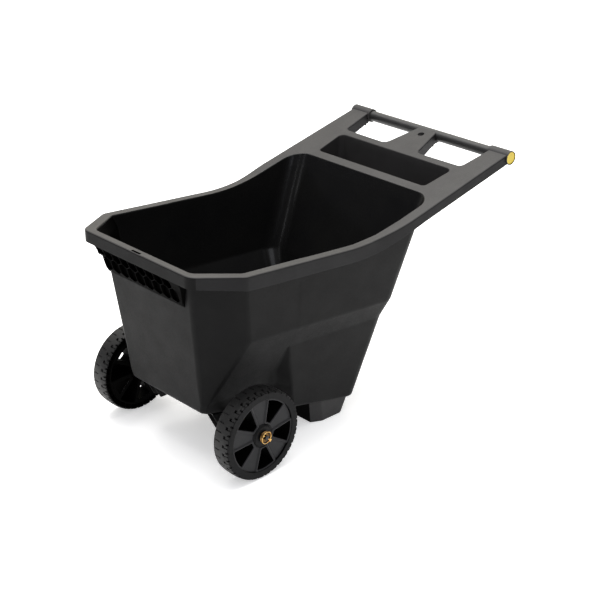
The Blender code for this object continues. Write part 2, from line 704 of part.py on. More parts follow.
def bracket():
    top = lambda x: z_floor(x) - GAP * 1.2
    xa, xb, xc, xd = WHEEL_X - 0.0520, WHEEL_X + 0.0480, WHEEL_X + 0.0220, WHEEL_X - 0.0210
    prof = [(xa, top(xa)), (xb, top(xb)), (xb, top(xb) - 0.004), (xc, 0.0900), (xc - 0.004, 0.0870), (xd + 0.004, 0.0870), (xd, 0.0900), (xa, top(xa) - 0.004)]
    me = loft("bracket", [[(x, y, z) for x, z in prof] for y in (BRACKET_Y0, BRACKET_Y1)])
    hollow = [(xa - 0.05, top(xa - 0.05) - PLATE), (xb + 0.05, top(xb + 0.05) - PLATE), (xb + 0.05, 0.05), (xa - 0.05, 0.05)]
    me = combine(me, loft("hollow", [[(x, y, z) for x, z in hollow] for y in (BRACKET_Y0 + PLATE, BRACKET_Y1 - PLATE)]), "DIFFERENCE")
    me = combine(me, rod("way", AXLE_R + GAP, 0.10, 0.17, WHEEL_X, WHEEL_Z), "DIFFERENCE")
    ways = join([post("way", 0.0033, 0.0, 0.3, bolt_base(x)[0], BOLT_Y, tilt=FLOOR_TILT) for x in BOLT_XS])
    return combine(me, ways, "DIFFERENCE")


br = bracket()
new_object("axle_bracket_far", br, TUBE)
new_object("axle_bracket_near", mirrored(br), TUBE)


def lean(me, base, length):
    s, c = math.sin(FLOOR_TILT), math.cos(FLOOR_TILT)
    for v in me.vertices:
        x, z = v.co.x, v.co.z + length
        v.co.x, v.co.z = base + x * c + z * s, -x * s + z * c
        v.co.y += BOLT_Y
    return me


for tag, x in (("front", BOLT_XS[0]), ("rear", BOLT_XS[1])):
    base, length = bolt_base(x)
    t = WALL * math.cos(FLOOR_TILT)
    bolt = lean(shaft_z("bolt", [(0.0022, -0.0125), (0.0030, -0.0115), (0.0030, t + GAP), (0.0065, t + GAP), (0.0062, t + 0.0016), (0.0035, t + 0.0030)], 16), base, length)
    z0, z1 = -0.0083, -0.0037
    rings = [[(r * math.cos(2 * math.pi * k / 12), r * math.sin(2 * math.pi * k / 12), z) for k in range(12)] for r, z in ((0.0033, z0), (0.0033, z1))]
    hexr = []
    for z in (z0, z1):
        ring = []
        for k in range(12):
            a = 2 * math.pi * k / 12
            r = 0.0060 if k % 2 == 0 else 0.0060 * math.cos(math.pi / 6)
            ring.append((r * math.cos(a), r * math.sin(a), z))
        hexr.append(ring)
    nut = lean(loft("nut", [rings[0], hexr[0], hexr[1], rings[1]], closed_tube=True), base, length)
    for side, s in (("far", 1), ("near", -1)):
        new_object("bracket_bolt_%s_%s" % (side, tag), bolt if s > 0 else mirrored(bolt), STEEL)
        new_object("bracket_nut_%s_%s" % (side, tag), nut if s > 0 else mirrored(nut), STEEL)

# ------------------------------------------------------------------- wheels
LUGS = 32
COLS = 3
WHEEL_SEG = LUGS * COLS
HUB_R, HUB_BORE = 0.0290, 0.0103
RIM_IN = 0.1030
FACE = WHEEL_Y                 # outer face
BACK = WHEEL_Y - WHEEL_W       # inner face
MID = (FACE + BACK) / 2
WEB = 0.0060
RIB_FACE = FACE - 0.0016       # spoke edges are nearly flush with the outer ring
PANEL = RIB_FACE - 0.0035      # the sunk middle of a spoke


def tread_profile(k):
    """Closed (radius, y) section of the tyre at angular step k: tread blocks, and hollow from the inner side."""
    ga = 0.0022 if k % COLS == 0 else 0.0
    gb = 0.0022 if (k + 1) % COLS == 0 else 0.0
    out = [(RIM_IN, FACE - 0.0010), (0.1045, FACE), (0.1232, FACE)]
    out += [(0.1252 - ga, FACE - 0.0020), (0.1264 - ga, FACE - 0.0150), (WHEEL_R - ga, MID + 0.0004)]
    out += [(WHEEL_R - gb, MID - 0.0004), (0.1264 - gb, BACK + 0.0150), (0.1252 - gb, BACK + 0.0020)]
    out += [(0.1232, BACK), (0.1214, BACK), (0.1204, FACE - 0.0120), (0.1088, FACE - 0.0120), (0.1078, BACK)]
    return out + [(0.1045, BACK), (RIM_IN, BACK + 0.0010)]


def hub_and_web():
    web = PANEL
    prof = [(HUB_BORE, FACE + 0.0012), (HUB_R, FACE + 0.0012), (HUB_R + 0.0040, web), (RIM_IN + 0.0020, web)]
    prof += [(RIM_IN + 0.0020, web - WEB), (HUB_R, web - WEB), (HUB_R, BACK - 0.0012), (HUB_BORE, BACK - 0.0012)]
    return lathe_y("hub", prof, 48, bore=True)


def window(g):
    """Outline of one window between two spokes, seen along the axle, opening by g more."""
    r0, r1 = 0.0385 - g, 0.0995 + g
    pts = []

    def edge(r):
        half = 0.0159 + (r - 0.039) * 0.264 - g        # half width of a spoke
        return math.radians(36) - math.asin(half / r)
    n_arc = 5
    pts.append((r0, 0.0, 0.0))
    pts.append((r0, edge(r0), 0.004))
    pts.append((r1, edge(r1), 0.006))
    arc = [(r1, edge(r1) * (1 - k / n_arc), 0.0) for k in range(1, n_arc + 1)]
    xy = [(r * math.cos(a), r * math.sin(a), q) for r, a, q in pts + arc]
    half = rounded(xy, 3)
    return half + [(x, -y) for x, y in reversed(half[1:-1])]


SPOKES = [355, 67, 139, 211, 283]      # clock angles seen from the near side


def window_set(g, y0, y1):
    out = []
    for clock in SPOKES:
        a0 = math.radians(90 - (clock + 36))
        loop = window(g)
        ca, sa = math.cos(a0), math.sin(a0)
        rings = [[(x * ca - z * sa, y, x * sa + z * ca) for x, z in loop] for y in (y0, y1)]
        out.append(loft("window", rings))
    return join(out)


def build_wheel():
    rings = []
    for k in range(WHEEL_SEG):
        a = 2 * math.pi * k / WHEEL_SEG
        rings.append([(r * math.cos(a), y, r * math.sin(a)) for r, y in tread_profile(k)])
    w = combine(loft("ring", rings, closed_tube=True), hub_and_web(), "UNION")
    w = combine(w, window_set(0.0045, BACK + 0.0040, RIB_FACE), "UNION")
    return combine(w, window_set(0.0, BACK - 0.01, FACE + 0.01), "DIFFERENCE")


def hinge_part(name, me, mat):
    ob = new_object(name, me, mat, 30)
    ob.location = (WHEEL_X, 0.0, WHEEL_Z)
    return ob


wheel = build_wheel()
outer_bush = lathe_y("bush", [(0.0100, FACE - 0.0150), (0.0100, FACE + 0.0015), (0.0150, FACE + 0.0015), (0.0150, FACE + 0.0032), (AXLE_R + 0.0001, FACE + 0.0032), (AXLE_R + 0.0001, FACE - 0.0150)], 36, bore=True)
inner_bush = lathe_y("bush", [(0.0100, BACK + 0.0150), (0.0100, BACK - 0.0015), (0.0150, BACK - 0.0015), (0.0150, BACK - 0.0040), (AXLE_R + 0.0001, BACK - 0.0040), (AXLE_R + 0.0001, BACK + 0.0150)], 36, bore=True)
for side, s in (("far", 1), ("near", -1)):
    hinge_part("wheel_" + side, wheel if s > 0 else mirrored(wheel), WHEEL)
    hinge_part("hub_bush_outer_" + side, outer_bush if s > 0 else mirrored(outer_bush), NYLON)
    hinge_part("hub_bush_inner_" + side, inner_bush if s > 0 else mirrored(inner_bush), NYLON)
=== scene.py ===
import math
import bpy
import bmesh
from mathutils import Matrix, Vector


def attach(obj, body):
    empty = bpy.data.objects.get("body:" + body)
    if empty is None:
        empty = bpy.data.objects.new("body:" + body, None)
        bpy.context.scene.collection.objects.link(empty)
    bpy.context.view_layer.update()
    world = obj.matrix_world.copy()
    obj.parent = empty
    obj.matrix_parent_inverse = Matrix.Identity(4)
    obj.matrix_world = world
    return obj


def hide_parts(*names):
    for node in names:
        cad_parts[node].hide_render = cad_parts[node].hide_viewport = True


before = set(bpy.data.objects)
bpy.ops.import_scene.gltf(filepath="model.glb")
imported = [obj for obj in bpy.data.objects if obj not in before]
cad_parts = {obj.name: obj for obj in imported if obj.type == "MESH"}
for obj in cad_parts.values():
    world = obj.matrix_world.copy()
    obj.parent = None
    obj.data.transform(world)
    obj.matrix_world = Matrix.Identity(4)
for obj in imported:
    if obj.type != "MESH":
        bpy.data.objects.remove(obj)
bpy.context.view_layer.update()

# ---------------------------------------------------------------- dimensions
NOSE_X = -0.5723          # outer edge of the rim at the nose
HANDLE_X = 0.5517         # handle tube centre line
HANDLE_Z = 0.6676
TUBE_R = 0.0160           # handle tube outer radius
TUBE_WALL = 0.0016
SLEEVE_R = 0.0206         # tube sockets at the rail ends
SLEEVE_Y0 = 0.2360        # inner end of a socket
SLEEVE_Y1 = 0.3115        # outer end of a socket
GAP = 0.0003              # gap between touching pieces

TUB_TILT = 0.0937         # rim falls this much per metre aft
DECK_RISE = 0.2277        # rails and deck rise this much per metre aft
RIM_Z = 0.5598            # rim plane where x = 0
DECK_Z = 0.5574           # deck plane where x = 0
BEND_X = (RIM_Z - DECK_Z) / (TUB_TILT + DECK_RISE)
BEND_HALF = 0.1000        # the sweep from rim to rail runs this far each way
FLOOR_FALL = 0.235        # tub floor falls this much per metre aft
WALL = 0.0040
TOP_T = 0.0035            # thickness of the rim and deck plate
SKIRT_T = 0.0034

MOUTH_REAR_X = 0.2585     # inner rear edge of the tub mouth
TRAY_X0, TRAY_X1 = 0.2920, 0.3987
TRAY_Y0, TRAY_Y1 = 0.2110, 0.2210
TRAY_DEPTH = 0.085
OPEN_X0 = 0.4260          # front edge of the hand openings
OPEN_Y_FRONT, OPEN_Y_REAR = 0.2290, 0.2430
BRIDGE_Y_FRONT, BRIDGE_Y_REAR = 0.0640, 0.0330
HANG_HOLE_X, HANG_HOLE_R = 0.5125, 0.0098

WHEEL_X = -0.3995
WHEEL_R = 0.1270
WHEEL_Z = WHEEL_R
WHEEL_W = 0.0560
WHEEL_Y = 0.2890          # outer face of a wheel
AXLE_R = 0.0064
BRACKET_Y0, BRACKET_Y1 = 0.1180, 0.1480

FOOT_X0, FOOT_X1 = -0.1105, 0.0010      # sole of a foot
FOOT_Y0, FOOT_Y1 = 0.0950, 0.1865
FOOT_WALL = 0.0060

# Ribbed grip under the nose: its front face as (x, z), top to bottom
GRIP_FRONT = [(-0.5655, 0.5800), (-0.5575, 0.5660), (-0.5525, 0.5560), (-0.5470, 0.5402), (-0.5427, 0.5241),
              (-0.5375, 0.5080), (-0.5300, 0.4950)]
GRIP_NEAR_Y, GRIP_FAR_Y = -0.1560, 0.1725
CELL_PITCH = 0.0348       # hexagon cells in the grip
CELL_RIB = 0.0026
CELL_Z = 0.5212           # centre of the lower row
CELL_TOP = 0.5850         # the upper row runs up behind the skirt
WING_Y = 0.1885

SEG = 8
MOUTH_R = 0.0042          # rolled edge of the tub mouth
TRAY_R = 0.0030
RIM_R = 0.0042            # rolled outer edge of the rim and rails
HEM_R = 0.0009            # lower edge of the skirts
SOFT = 0.0055             # softness of the creases in the tub wall


def z_top(x):
    """Height of the rim and deck surface above the ground, a function of x only."""
    d = x - BEND_X
    if d <= -BEND_HALF:
        return RIM_Z - TUB_TILT * x
    if d >= BEND_HALF:
        return DECK_Z + DECK_RISE * x
    return RIM_Z - TUB_TILT * x + (TUB_TILT + DECK_RISE) * (d + BEND_HALF) ** 2 / (4 * BEND_HALF)


def z_line(zeta, x):
    """Height of a line that runs parallel to the front rim, zeta high at x = -0.472."""
    return zeta - 0.0925 * (x + 0.472)


def z_floor(x):
    return 0.160 - FLOOR_FALL * (x + 0.472)


def smooth(t):
    t = max(0.0, min(1.0, t))
    return t * t * (3 - 2 * t)


def lerp(a, b, t):
    return a + (b - a) * t


def rounded(points, seg=SEG):
    """points: (x, y, r) of a chain; r > 0 is a round corner, r < 0 a soft one that starts |r| away."""
    out = []
    n = len(points)
    for i, (x, y, r) in enumerate(points):
        if r == 0 or i == 0 or i == n - 1:
            out.append((x, y))
            continue
        p = Vector((x, y))
        a = Vector(points[i - 1][:2]) - p
        b = Vector(points[i + 1][:2]) - p
        ang = a.angle(b)
        lim = min(a.length, b.length) * 0.49
        t = min(-r, lim) if r < 0 else min(r / math.tan(ang / 2), lim)
        a.normalize()
        b.normalize()
        if r < 0 or ang > 3.10:
            for k in range(seg + 1):
                f = k / seg
                q = p + a * t * (1 - f) ** 2 + b * t * f ** 2
                out.append((q.x, q.y))
            continue
        rr = t * math.tan(ang / 2)
        c = p + (a + b).normalized() * (rr / math.sin(ang / 2))
        s, e = p + a * t - c, p + b * t - c
        sweep = s.angle(e)
        for k in range(seg + 1):
            f = k / seg
            q = (s * math.sin((1 - f) * sweep) + e * math.sin(f * sweep)) / math.sin(sweep)
            out.append((c.x + q.x, c.y + q.y))
    return out


def mirror_chain(half):
    """half runs from y = 0 at the nose round the +Y side to y = 0 at the rear."""
    if abs(half[0][0] - half[1][0]) < 1e-7:
        half = half[1:]
    if abs(half[-1][0] - half[-2][0]) < 1e-7:
        half = half[:-1]
    return half + [(x, -y) for x, y in reversed(half) if y > 1e-9]


def offset_loop(loop, d):
    """Moves a closed loop inwards by d (the loop runs clockwise seen from above)."""
    n = len(loop)
    out = []
    for i in range(n):
        p0, p1, p2 = Vector(loop[i - 1]), Vector(loop[i]), Vector(loop[(i + 1) % n])
        e1, e2 = (p1 - p0).normalized(), (p2 - p1).normalized()
        n1, n2 = Vector((e1.y, -e1.x)), Vector((e2.y, -e2.x))
        m = n1 + n2
        m = m / max(0.35, m.length_squared / 2)
        q = p1 + m * d
        out.append((q.x, q.y))
    return out


def mesh_from(name, verts, faces):
    me = bpy.data.meshes.new(name)
    me.from_pydata([tuple(v) for v in verts], [], [tuple(f) for f in faces])
    bm = bmesh.new()
    bm.from_mesh(me)
    bmesh.ops.remove_doubles(bm, verts=bm.verts, dist=1e-6)
    bmesh.ops.recalc_face_normals(bm, faces=bm.faces)
    bm.to_mesh(me)
    bm.free()
    return me


def loft(name, rings, closed_tube=False):
    """Joins rings of equal length; the first and last are capped, or joined for a ring solid."""
    verts, faces = [], []
    n = len(rings[0])
    for r in rings:
        verts += r
    m = len(rings)
    for j in range(m if closed_tube else m - 1):
        a, b = j * n, ((j + 1) % m) * n
        for i in range(n):
            k = (i + 1) % n
            faces.append((a + i, a + k, b + k, b + i))
    if not closed_tube:
        faces.append(tuple(range(n)))
        faces.append(tuple((m - 1) * n + i for i in reversed(range(n))))
    return mesh_from(name, verts, faces)


def prism(name, loop, w0, w1, loop2=None):
    loop2 = loop2 or loop
    return loft(name, [[(x, y, w0) for x, y in loop], [(x, y, w1) for x, y in loop2]])


def combine(target, tool, operation, keep=False):
    """One exact Boolean between two mesh data blocks; returns a new mesh."""
    a = bpy.data.objects.new("a", target)
    b = bpy.data.objects.new("b", tool)
    coll = bpy.context.scene.collection
    coll.objects.link(a)
    coll.objects.link(b)
    mod = a.modifiers.new("cut", "BOOLEAN")
    mod.object = b
    mod.operation = operation
    mod.solver = "EXACT"
    bpy.context.view_layer.update()
    dg = bpy.context.evaluated_depsgraph_get()
    me = bpy.data.meshes.new_from_object(a.evaluated_get(dg))
    bpy.data.objects.remove(a)
    bpy.data.objects.remove(b)
    return me


def box(name, x0, x1, y0, y1, z0, z1):
    return prism(name, [(x0, y0), (x0, y1), (x1, y1), (x1, y0)], z0, z1)


def rod(name, r, y0, y1, x, z, n=32):
    """Cylinder along Y."""
    rings = []
    for y in (y0, y1):
        rings.append([(x + r * math.cos(2 * math.pi * k / n), y, z + r * math.sin(2 * math.pi * k / n)) for k in range(n)])
    return loft(name, rings)


def post(name, r, z0, z1, x, y, n=16, tilt=0.0, flip=False):
    """Cylinder along Z, or leaning by tilt about Y; z0 and z1 count from (x, y, 0) along it."""
    s, c = math.sin(tilt), math.cos(tilt)
    rings = []
    for z in (z0, z1):
        ring = []
        for k in range(n):
            px, py = r * math.cos(2 * math.pi * k / n), r * math.sin(2 * math.pi * k / n)
            ring.append((x + px * c + z * s, y + py, -px * s + z * c))
        rings.append(ring)
    return loft(name, rings)


def join(meshes):
    bm = bmesh.new()
    for me in meshes:
        bm.from_mesh(me)
    out = bpy.data.meshes.new("joined")
    bm.to_mesh(out)
    bm.free()
    return out


def mirrored(me):
    out = me.copy()
    for v in out.vertices:
        v.co.y = -v.co.y
    out.flip_normals()
    return out


def moved(me, dx, dy, dz):
    out = me.copy()
    for v in out.vertices:
        v.co += Vector((dx, dy, dz))
    return out


def both(me):
    return join([me, mirrored(me)])


def lathe_y(name, profile, n, x=0.0, z=0.0, bore=False):
    """Turned solid along Y from (radius, y) pairs, with or without a bore."""
    rings = [[(x + r * math.cos(2 * math.pi * k / n), y, z + r * math.sin(2 * math.pi * k / n)) for k in range(n)] for r, y in profile]
    return loft(name, rings, closed_tube=bore)


def circle(cx, cy, r, n):
    return [(cx - r * math.cos(2 * math.pi * k / n), cy + r * math.sin(2 * math.pi * k / n)) for k in range(n)]


def piece(name, mesh, mat, body, nodes=(), angle=32, bevel=0.0):
    """Adds one finished piece, lets it ride on a body and hides the CAD nodes it stands for."""
    ob = bpy.data.objects.new(name, mesh)
    bpy.context.scene.collection.objects.link(ob)
    if mat:
        which = [p.material_index for p in mesh.polygons] if isinstance(mat, list) else None
        mesh.materials.clear()
        for one in (mat if isinstance(mat, list) else [mat]):
            mesh.materials.append(one)
        if which:
            mesh.polygons.foreach_set("material_index", which)
    mesh.shade_smooth()
    mesh.set_sharp_from_angle(angle=math.radians(angle))
    if bevel:
        m = ob.modifiers.new("edges", "BEVEL")
        m.width = bevel
        m.segments = 2
        m.limit_method = "ANGLE"
        m.angle_limit = math.radians(angle)
    m = ob.modifiers.new("normals", "WEIGHTED_NORMAL")
    m.keep_sharp = True
    m.weight = 60
    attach(ob, body)
    if nodes:
        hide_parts(*nodes)
    return ob


# ---------------------------------------------------------------- materials
def start(name):
    m = bpy.data.materials.new(name)
    m.use_nodes = True
    nt = m.node_tree
    coord = nt.nodes.new("ShaderNodeTexCoord")
    return m, nt, nt.nodes["Principled BSDF"], coord.outputs["Object"]


def noise(nt, coord, scale, detail=2.0, rough=0.5):
    n = nt.nodes.new("ShaderNodeTexNoise")
    n.inputs["Scale"].default_value = scale
    n.inputs["Detail"].default_value = detail
    n.inputs["Roughness"].default_value = rough
    nt.links.new(coord, n.inputs["Vector"])
    return n.outputs["Fac"]


def span(nt, value, lo, hi, a=0.3, b=0.7):
    n = nt.nodes.new("ShaderNodeMapRange")
    n.inputs["From Min"].default_value = a
    n.inputs["From Max"].default_value = b
    n.inputs["To Min"].default_value = lo
    n.inputs["To Max"].default_value = hi
    nt.links.new(value, n.inputs["Value"])
    return n.outputs["Result"]


def maths(nt, op, a, b):
    n = nt.nodes.new("ShaderNodeMath")
    n.operation = op
    for i, v in enumerate((a, b)):
        if isinstance(v, (int, float)):
            n.inputs[i].default_value = v
        else:
            nt.links.new(v, n.inputs[i])
    return n.outputs[0]


def ramp(nt, value, stops):
    n = nt.nodes.new("ShaderNodeValToRGB")
    n.color_ramp.elements[0].position = stops[0][0]
    n.color_ramp.elements[0].color = (*stops[0][1], 1)
    n.color_ramp.elements[1].position = stops[-1][0]
    n.color_ramp.elements[1].color = (*stops[-1][1], 1)
    for pos, col in stops[1:-1]:
        n.color_ramp.elements.new(pos).color = (*col, 1)
    nt.links.new(value, n.inputs["Fac"])
    return n.outputs["Color"]


def bump(nt, height, strength, distance, under=None):
    n = nt.nodes.new("ShaderNodeBump")
    n.inputs["Strength"].default_value = strength
    n.inputs["Distance"].default_value = distance
    nt.links.new(height, n.inputs["Height"])
    if under:
        nt.links.new(under, n.inputs["Normal"])
    return n.outputs["Normal"]


def moulded(name, dark, light, r0, r1, grain, depth, level=0.25, flow=0.0):
    """Moulded polymer: pebbled grain, flow clouding and a slightly uneven gloss."""
    m, nt, b, co = start(name)
    cloud = noise(nt, co, 7.0, 4.0, 0.55)
    nt.links.new(ramp(nt, cloud, [(0.30, dark), (0.72, light)]), b.inputs["Base Color"])
    fine = noise(nt, co, grain, 3.0, 0.55)
    broad = span(nt, noise(nt, co, 16.0, 3.0, 0.5), r0, r1)
    speck = span(nt, noise(nt, co, 160.0, 2.0, 0.5), -0.03, 0.03)
    nt.links.new(maths(nt, "ADD", broad, speck), b.inputs["Roughness"])
    wave = bump(nt, noise(nt, co, 9.0, 1.0, 0.4), 0.35, 0.0012)
    nt.links.new(bump(nt, fine, 0.55, depth, wave), b.inputs["Normal"])
    b.inputs["Specular IOR Level"].default_value = level
    return m


def coated(name, dark, light, r0, r1, level=0.4):
    """Powder coat: fine orange peel under an even satin gloss."""
    m, nt, b, co = start(name)
    nt.links.new(ramp(nt, noise(nt, co, 40.0, 3.0, 0.5), [(0.3, dark), (0.7, light)]), b.inputs["Base Color"])
    nt.links.new(span(nt, noise(nt, co, 60.0, 3.0, 0.5), r0, r1), b.inputs["Roughness"])
    peel = bump(nt, noise(nt, co, 420.0, 2.0, 0.5), 0.4, 0.00025)
    nt.links.new(bump(nt, noise(nt, co, 1400.0, 1.0, 0.5), 0.3, 0.00008, peel), b.inputs["Normal"])
    b.inputs["Specular IOR Level"].default_value = level
    return m


def metal(name, stops, r0, r1, grain, depth):
    """Plated or bare metal with a cloudy tint and fine drawing marks."""
    m, nt, b, co = start(name)
    nt.links.new(ramp(nt, noise(nt, co, grain * 0.25, 3.0, 0.6), stops), b.inputs["Base Color"])
    nt.links.new(span(nt, noise(nt, co, grain, 3.0, 0.5), r0, r1), b.inputs["Roughness"])
    nt.links.new(bump(nt, noise(nt, co, grain * 3.0, 2.0, 0.5), 0.4, depth), b.inputs["Normal"])
    b.inputs["Metallic"].default_value = 1.0
    return m


POLY = moulded("poly_rim", (0.0185, 0.0178, 0.0182), (0.0250, 0.0240, 0.0245), 0.44, 0.52, 620.0, 0.00030, 0.24)
# Darker copies of the rim plastic whose colour is painted shade: on the walls, lighter on the skirts, deepest under the
# rim, in pockets and on faces turned from the light.
POLY_WALL_SHADE = moulded("poly_wall_painted_shade", (0.0036, 0.0036, 0.0038), (0.0052, 0.0051, 0.0052), 0.46, 0.54, 620.0, 0.00030, 0.08)
POLY_SKIRT_SHADE = moulded("poly_skirt_painted_shade", (0.0082, 0.0080, 0.0086), (0.0112, 0.0110, 0.0116), 0.46, 0.54, 620.0, 0.00030, 0.12)
POLY_DEEP_SHADE = moulded("poly_deep_painted_shade", (0.0009, 0.0009, 0.0009), (0.0015, 0.0014, 0.0013), 0.55, 0.62, 620.0, 0.00025, 0.01)
# The tub's inside: a real glossier, smoother finish, with its colour darkened further as painted shade for the deep
# tub.
POLY_INSIDE_GLOSS_SHADE = moulded("poly_inside_gloss_painted_shade", (0.0046, 0.0046, 0.0048), (0.0066, 0.0065, 0.0062), 0.17, 0.24, 260.0, 0.00010, 0.24)
WHEEL = moulded("wheel_poly", (0.0145, 0.0145, 0.0157), (0.0195, 0.0193, 0.0208), 0.42, 0.52, 700.0, 0.00025, 0.16)
# Darker copies of the wheel plastic as painted shade: one for the outward ring face and hub, a deeper one for inboard
# faces and hollows.
WHEEL_RING_SHADE = moulded("wheel_ring_painted_shade", (0.0040, 0.0040, 0.0043), (0.0060, 0.0060, 0.0064), 0.42, 0.52, 700.0, 0.00025, 0.09)
WHEEL_DEEP_SHADE = moulded("wheel_inside_painted_shade", (0.0008, 0.0008, 0.0008), (0.0014, 0.0014, 0.0013), 0.60, 0.70, 700.0, 0.00025, 0.02)
TREAD = moulded("tread_poly", (0.0105, 0.0104, 0.0106), (0.0165, 0.0162, 0.0158), 0.46, 0.58, 500.0, 0.00030, 0.24)
NYLON = moulded("bush_nylon", (0.0140, 0.0140, 0.0145), (0.0200, 0.0200, 0.0200), 0.34, 0.44, 900.0, 0.00015, 0.35)
TUBE = coated("tube_coat", (0.0130, 0.0128, 0.0130), (0.0170, 0.0168, 0.0168), 0.40, 0.48, 0.35)
PLATE_COAT = coated("bracket_coat", (0.0022, 0.0022, 0.0023), (0.0034, 0.0034, 0.0034), 0.45, 0.55, 0.12)
YELLOW = moulded("plug_yellow", (0.580, 0.435, 0.045), (0.650, 0.500, 0.060), 0.40, 0.50, 900.0, 0.00010, 0.35)
STEEL = metal("steel_bare", [(0.3, (0.40, 0.40, 0.41)), (0.7, (0.56, 0.56, 0.56))], 0.26, 0.40, 300.0, 0.00008)
ZINC = metal("zinc_yellow", [(0.30, (0.50, 0.25, 0.07)), (0.50, (0.66, 0.40, 0.12)), (0.70, (0.55, 0.40, 0.20))], 0.16, 0.28, 380.0, 0.00008)
# Rougher copy of the yellow zinc for the washers, with its colour darkened as painted shade.
ZINC_DULL_SHADE = metal("zinc_dull_painted_shade", [(0.3, (0.12, 0.065, 0.022)), (0.7, (0.20, 0.12, 0.045))], 0.26, 0.38, 380.0, 0.00008)
AXLE_STEEL = metal("steel_axle", [(0.3, (0.035, 0.035, 0.036)), (0.7, (0.070, 0.070, 0.070))], 0.24, 0.36, 300.0, 0.00008)

# ------------------------------------------------- outlines seen from above
def side_y(x):
    """Half width of the rim's outer edge along the sides."""
    return 0.2955 + 0.0020 * smooth((x + 0.40) / 0.33) + 0.0105 * smooth((x - 0.0085) / 0.15)


def open_y(x):
    """Outer and inner edge of a hand opening."""
    t = (x - OPEN_X0) / (HANDLE_X - OPEN_X0)
    return lerp(OPEN_Y_FRONT, OPEN_Y_REAR, t), lerp(BRIDGE_Y_FRONT, BRIDGE_Y_REAR, t)


def skirt_depth(x, y):
    if x > 0.30 and abs(y) < 0.26:
        return 0.036 if x < 0.52 else 0.031
    return lerp(0.040, 0.030, smooth(x / 0.2)) - 0.0057 * (1 - smooth((x + 0.57) / 0.17))


def outer_half():
    pts = [(NOSE_X, 0, 0), (NOSE_X, 0.2183, 0.036), (-0.4516, 0.2950, 0.030)]
    xs = [-0.38, -0.25, -0.18, -0.12, -0.06, -0.02, 0.01, 0.03, 0.045, 0.06, 0.075, 0.09, 0.105, 0.12, 0.14, 0.16, 0.20]
    pts += [(x, side_y(x), 0) for x in xs]
    pts += [(HANDLE_X + 0.004, side_y(0.5), 0.0)]
    return rounded(pts, 12)


def notch():
    """One hand opening, open towards the tube, from the rail round to the bridge."""
    xe, xf = HANDLE_X + 0.004, OPEN_X0
    chain = [(xe, open_y(xe)[0], 0), (xf + 0.001, open_y(xf)[0], 0.014), (xf - 0.001, open_y(xf)[1], 0.018)]
    chain += [(xe, open_y(xe)[1], 0), (xe, 0, 0)]
    return rounded(chain, 8)


# -------------------------------------------------------- tub wall sections
# One row per level, rim to floor: height, nose x and y, chamfer run, side y at
# the wheel recess, at the panel and at the rear corner, rear x, corner radius,
# x of the recess end and of the panel edge.
LEVELS = [
    (lambda x: z_top(x) - 0.0018, None, 0.1978, 1.50, 0.2705, 0.2722, 0.2765, 0.2630, 0.060, -0.2460, -0.2360),
    (lambda x: z_top(x) - 0.0340, None, None, 1.135, 0.2690, 0.2697, 0.2735, 0.2490, 0.060, -0.2460, -0.2360),
    (lambda x: z_line(0.3985, x), None, None, 1.135, 0.2560, 0.2565, 0.2590, 0.1505, 0.058, -0.2460, -0.2360),
    (lambda x: z_line(0.3370, x), None, None, 1.135, 0.2277, 0.2277, 0.2295, 0.1345, 0.052, -0.2500, -0.2430),
    (lambda x: z_line(0.2560, x), None, None, 1.135, 0.1905, 0.2166, 0.2178, 0.1095, 0.050, -0.2680, -0.2325),
    (lambda x: z_line(0.1960, x), None, None, 1.135, 0.1628, 0.2084, 0.2092, 0.0895, 0.048, -0.2440, -0.2200),
    (lambda x: z_floor(x) + 0.011, None, None, 1.135, 0.1530, 0.1970, 0.1980, 0.0550, 0.044, -0.2280, -0.2070),
    (lambda x: z_floor(x) + 0.004, None, None, 1.135, 0.1500, 0.1950, 0.1960, 0.0525, 0.042, -0.2240, -0.2060),
    (lambda x: z_floor(x), None, None, 1.135, 0.1425, 0.1893, 0.1903, 0.0460, 0.036, -0.2200, -0.2050),
]
N_SIDE_A, N_SIDE_B = 5, 5


def tub_ring(level, inset):
    """One ring of the tub wall; inset moves it inwards."""
    zf, xn, yn, run, ya, yp, yr, xr, rr, valley, edge = LEVELS[level]
    last = len(LEVELS) - 1
    zn = zf(-0.50)
    drop = 0.570 - zn
    xn = (-0.5385 + 0.122 * drop) if level else -0.5508
    xn += {last - 1: 0.0050, last: 0.0160}.get(level, 0.0) + inset
    yn = (yn or 0.1740 - 0.065 * drop) - inset * 0.45
    yn = min(yn, ya - 0.010)
    ya, yp, yr, xr = ya - inset, yp - inset, yr - inset, xr - inset
    if inset > 0:
        valley += inset * 0.4
        edge += inset * 0.9
        rr -= inset
    xc = xn + (ya - yn) * run
    facet = [(lerp(xn, xc, t), lerp(yn, ya, t), 0) for t in (0.35, 0.50, 0.65)]
    chain = [(xn, 0, 0), (xn, yn, 0.022)] + facet + [(xc, ya, 0.026), (valley, ya, -0.010), (edge, yp, -0.007), (xr, yr, rr), (xr, 0, 0)]
    pts = rounded(chain, SEG)
    i = 1 + (SEG + 1) + 3 + (SEG + 1)
    j = i + 2 * (SEG + 1)
    a, b = pts[i - 1], pts[i]
    more_a = [(lerp(a[0], b[0], k / N_SIDE_A), lerp(a[1], b[1], k / N_SIDE_A)) for k in range(1, N_SIDE_A)]
    a, b = pts[j - 1], pts[j]
    more_b = [(lerp(a[0], b[0], k / N_SIDE_B), lerp(a[1], b[1], k / N_SIDE_B)) for k in range(1, N_SIDE_B)]
    loop = mirror_chain(pts[:i] + more_a + pts[i:j] + more_b + pts[j:])
    lift = inset if level == last else 0.0
    return [(x, y, zf(x) + lift) for x, y in loop]


def ladder_cap(loop, start, flip):
    """Strips across a closed mirrored loop, one per pair of mirrored edges."""
    n = len(loop)
    shift = 0 if loop[0][1] < 1e-9 else 1
    half = [i for i in range(n) if loop[i][1] > -1e-9]
    faces = []
    for a, b in zip(half, half[1:]):
        c, d = [(n - shift - i) % n if loop[i][1] > 1e-9 else i for i in (b, a)]
        f = [a, b, c, d]
        f = [start + v for k, v in enumerate(f) if v not in f[:k]]
        faces.append(tuple(reversed(f)) if flip else tuple(f))
    return faces


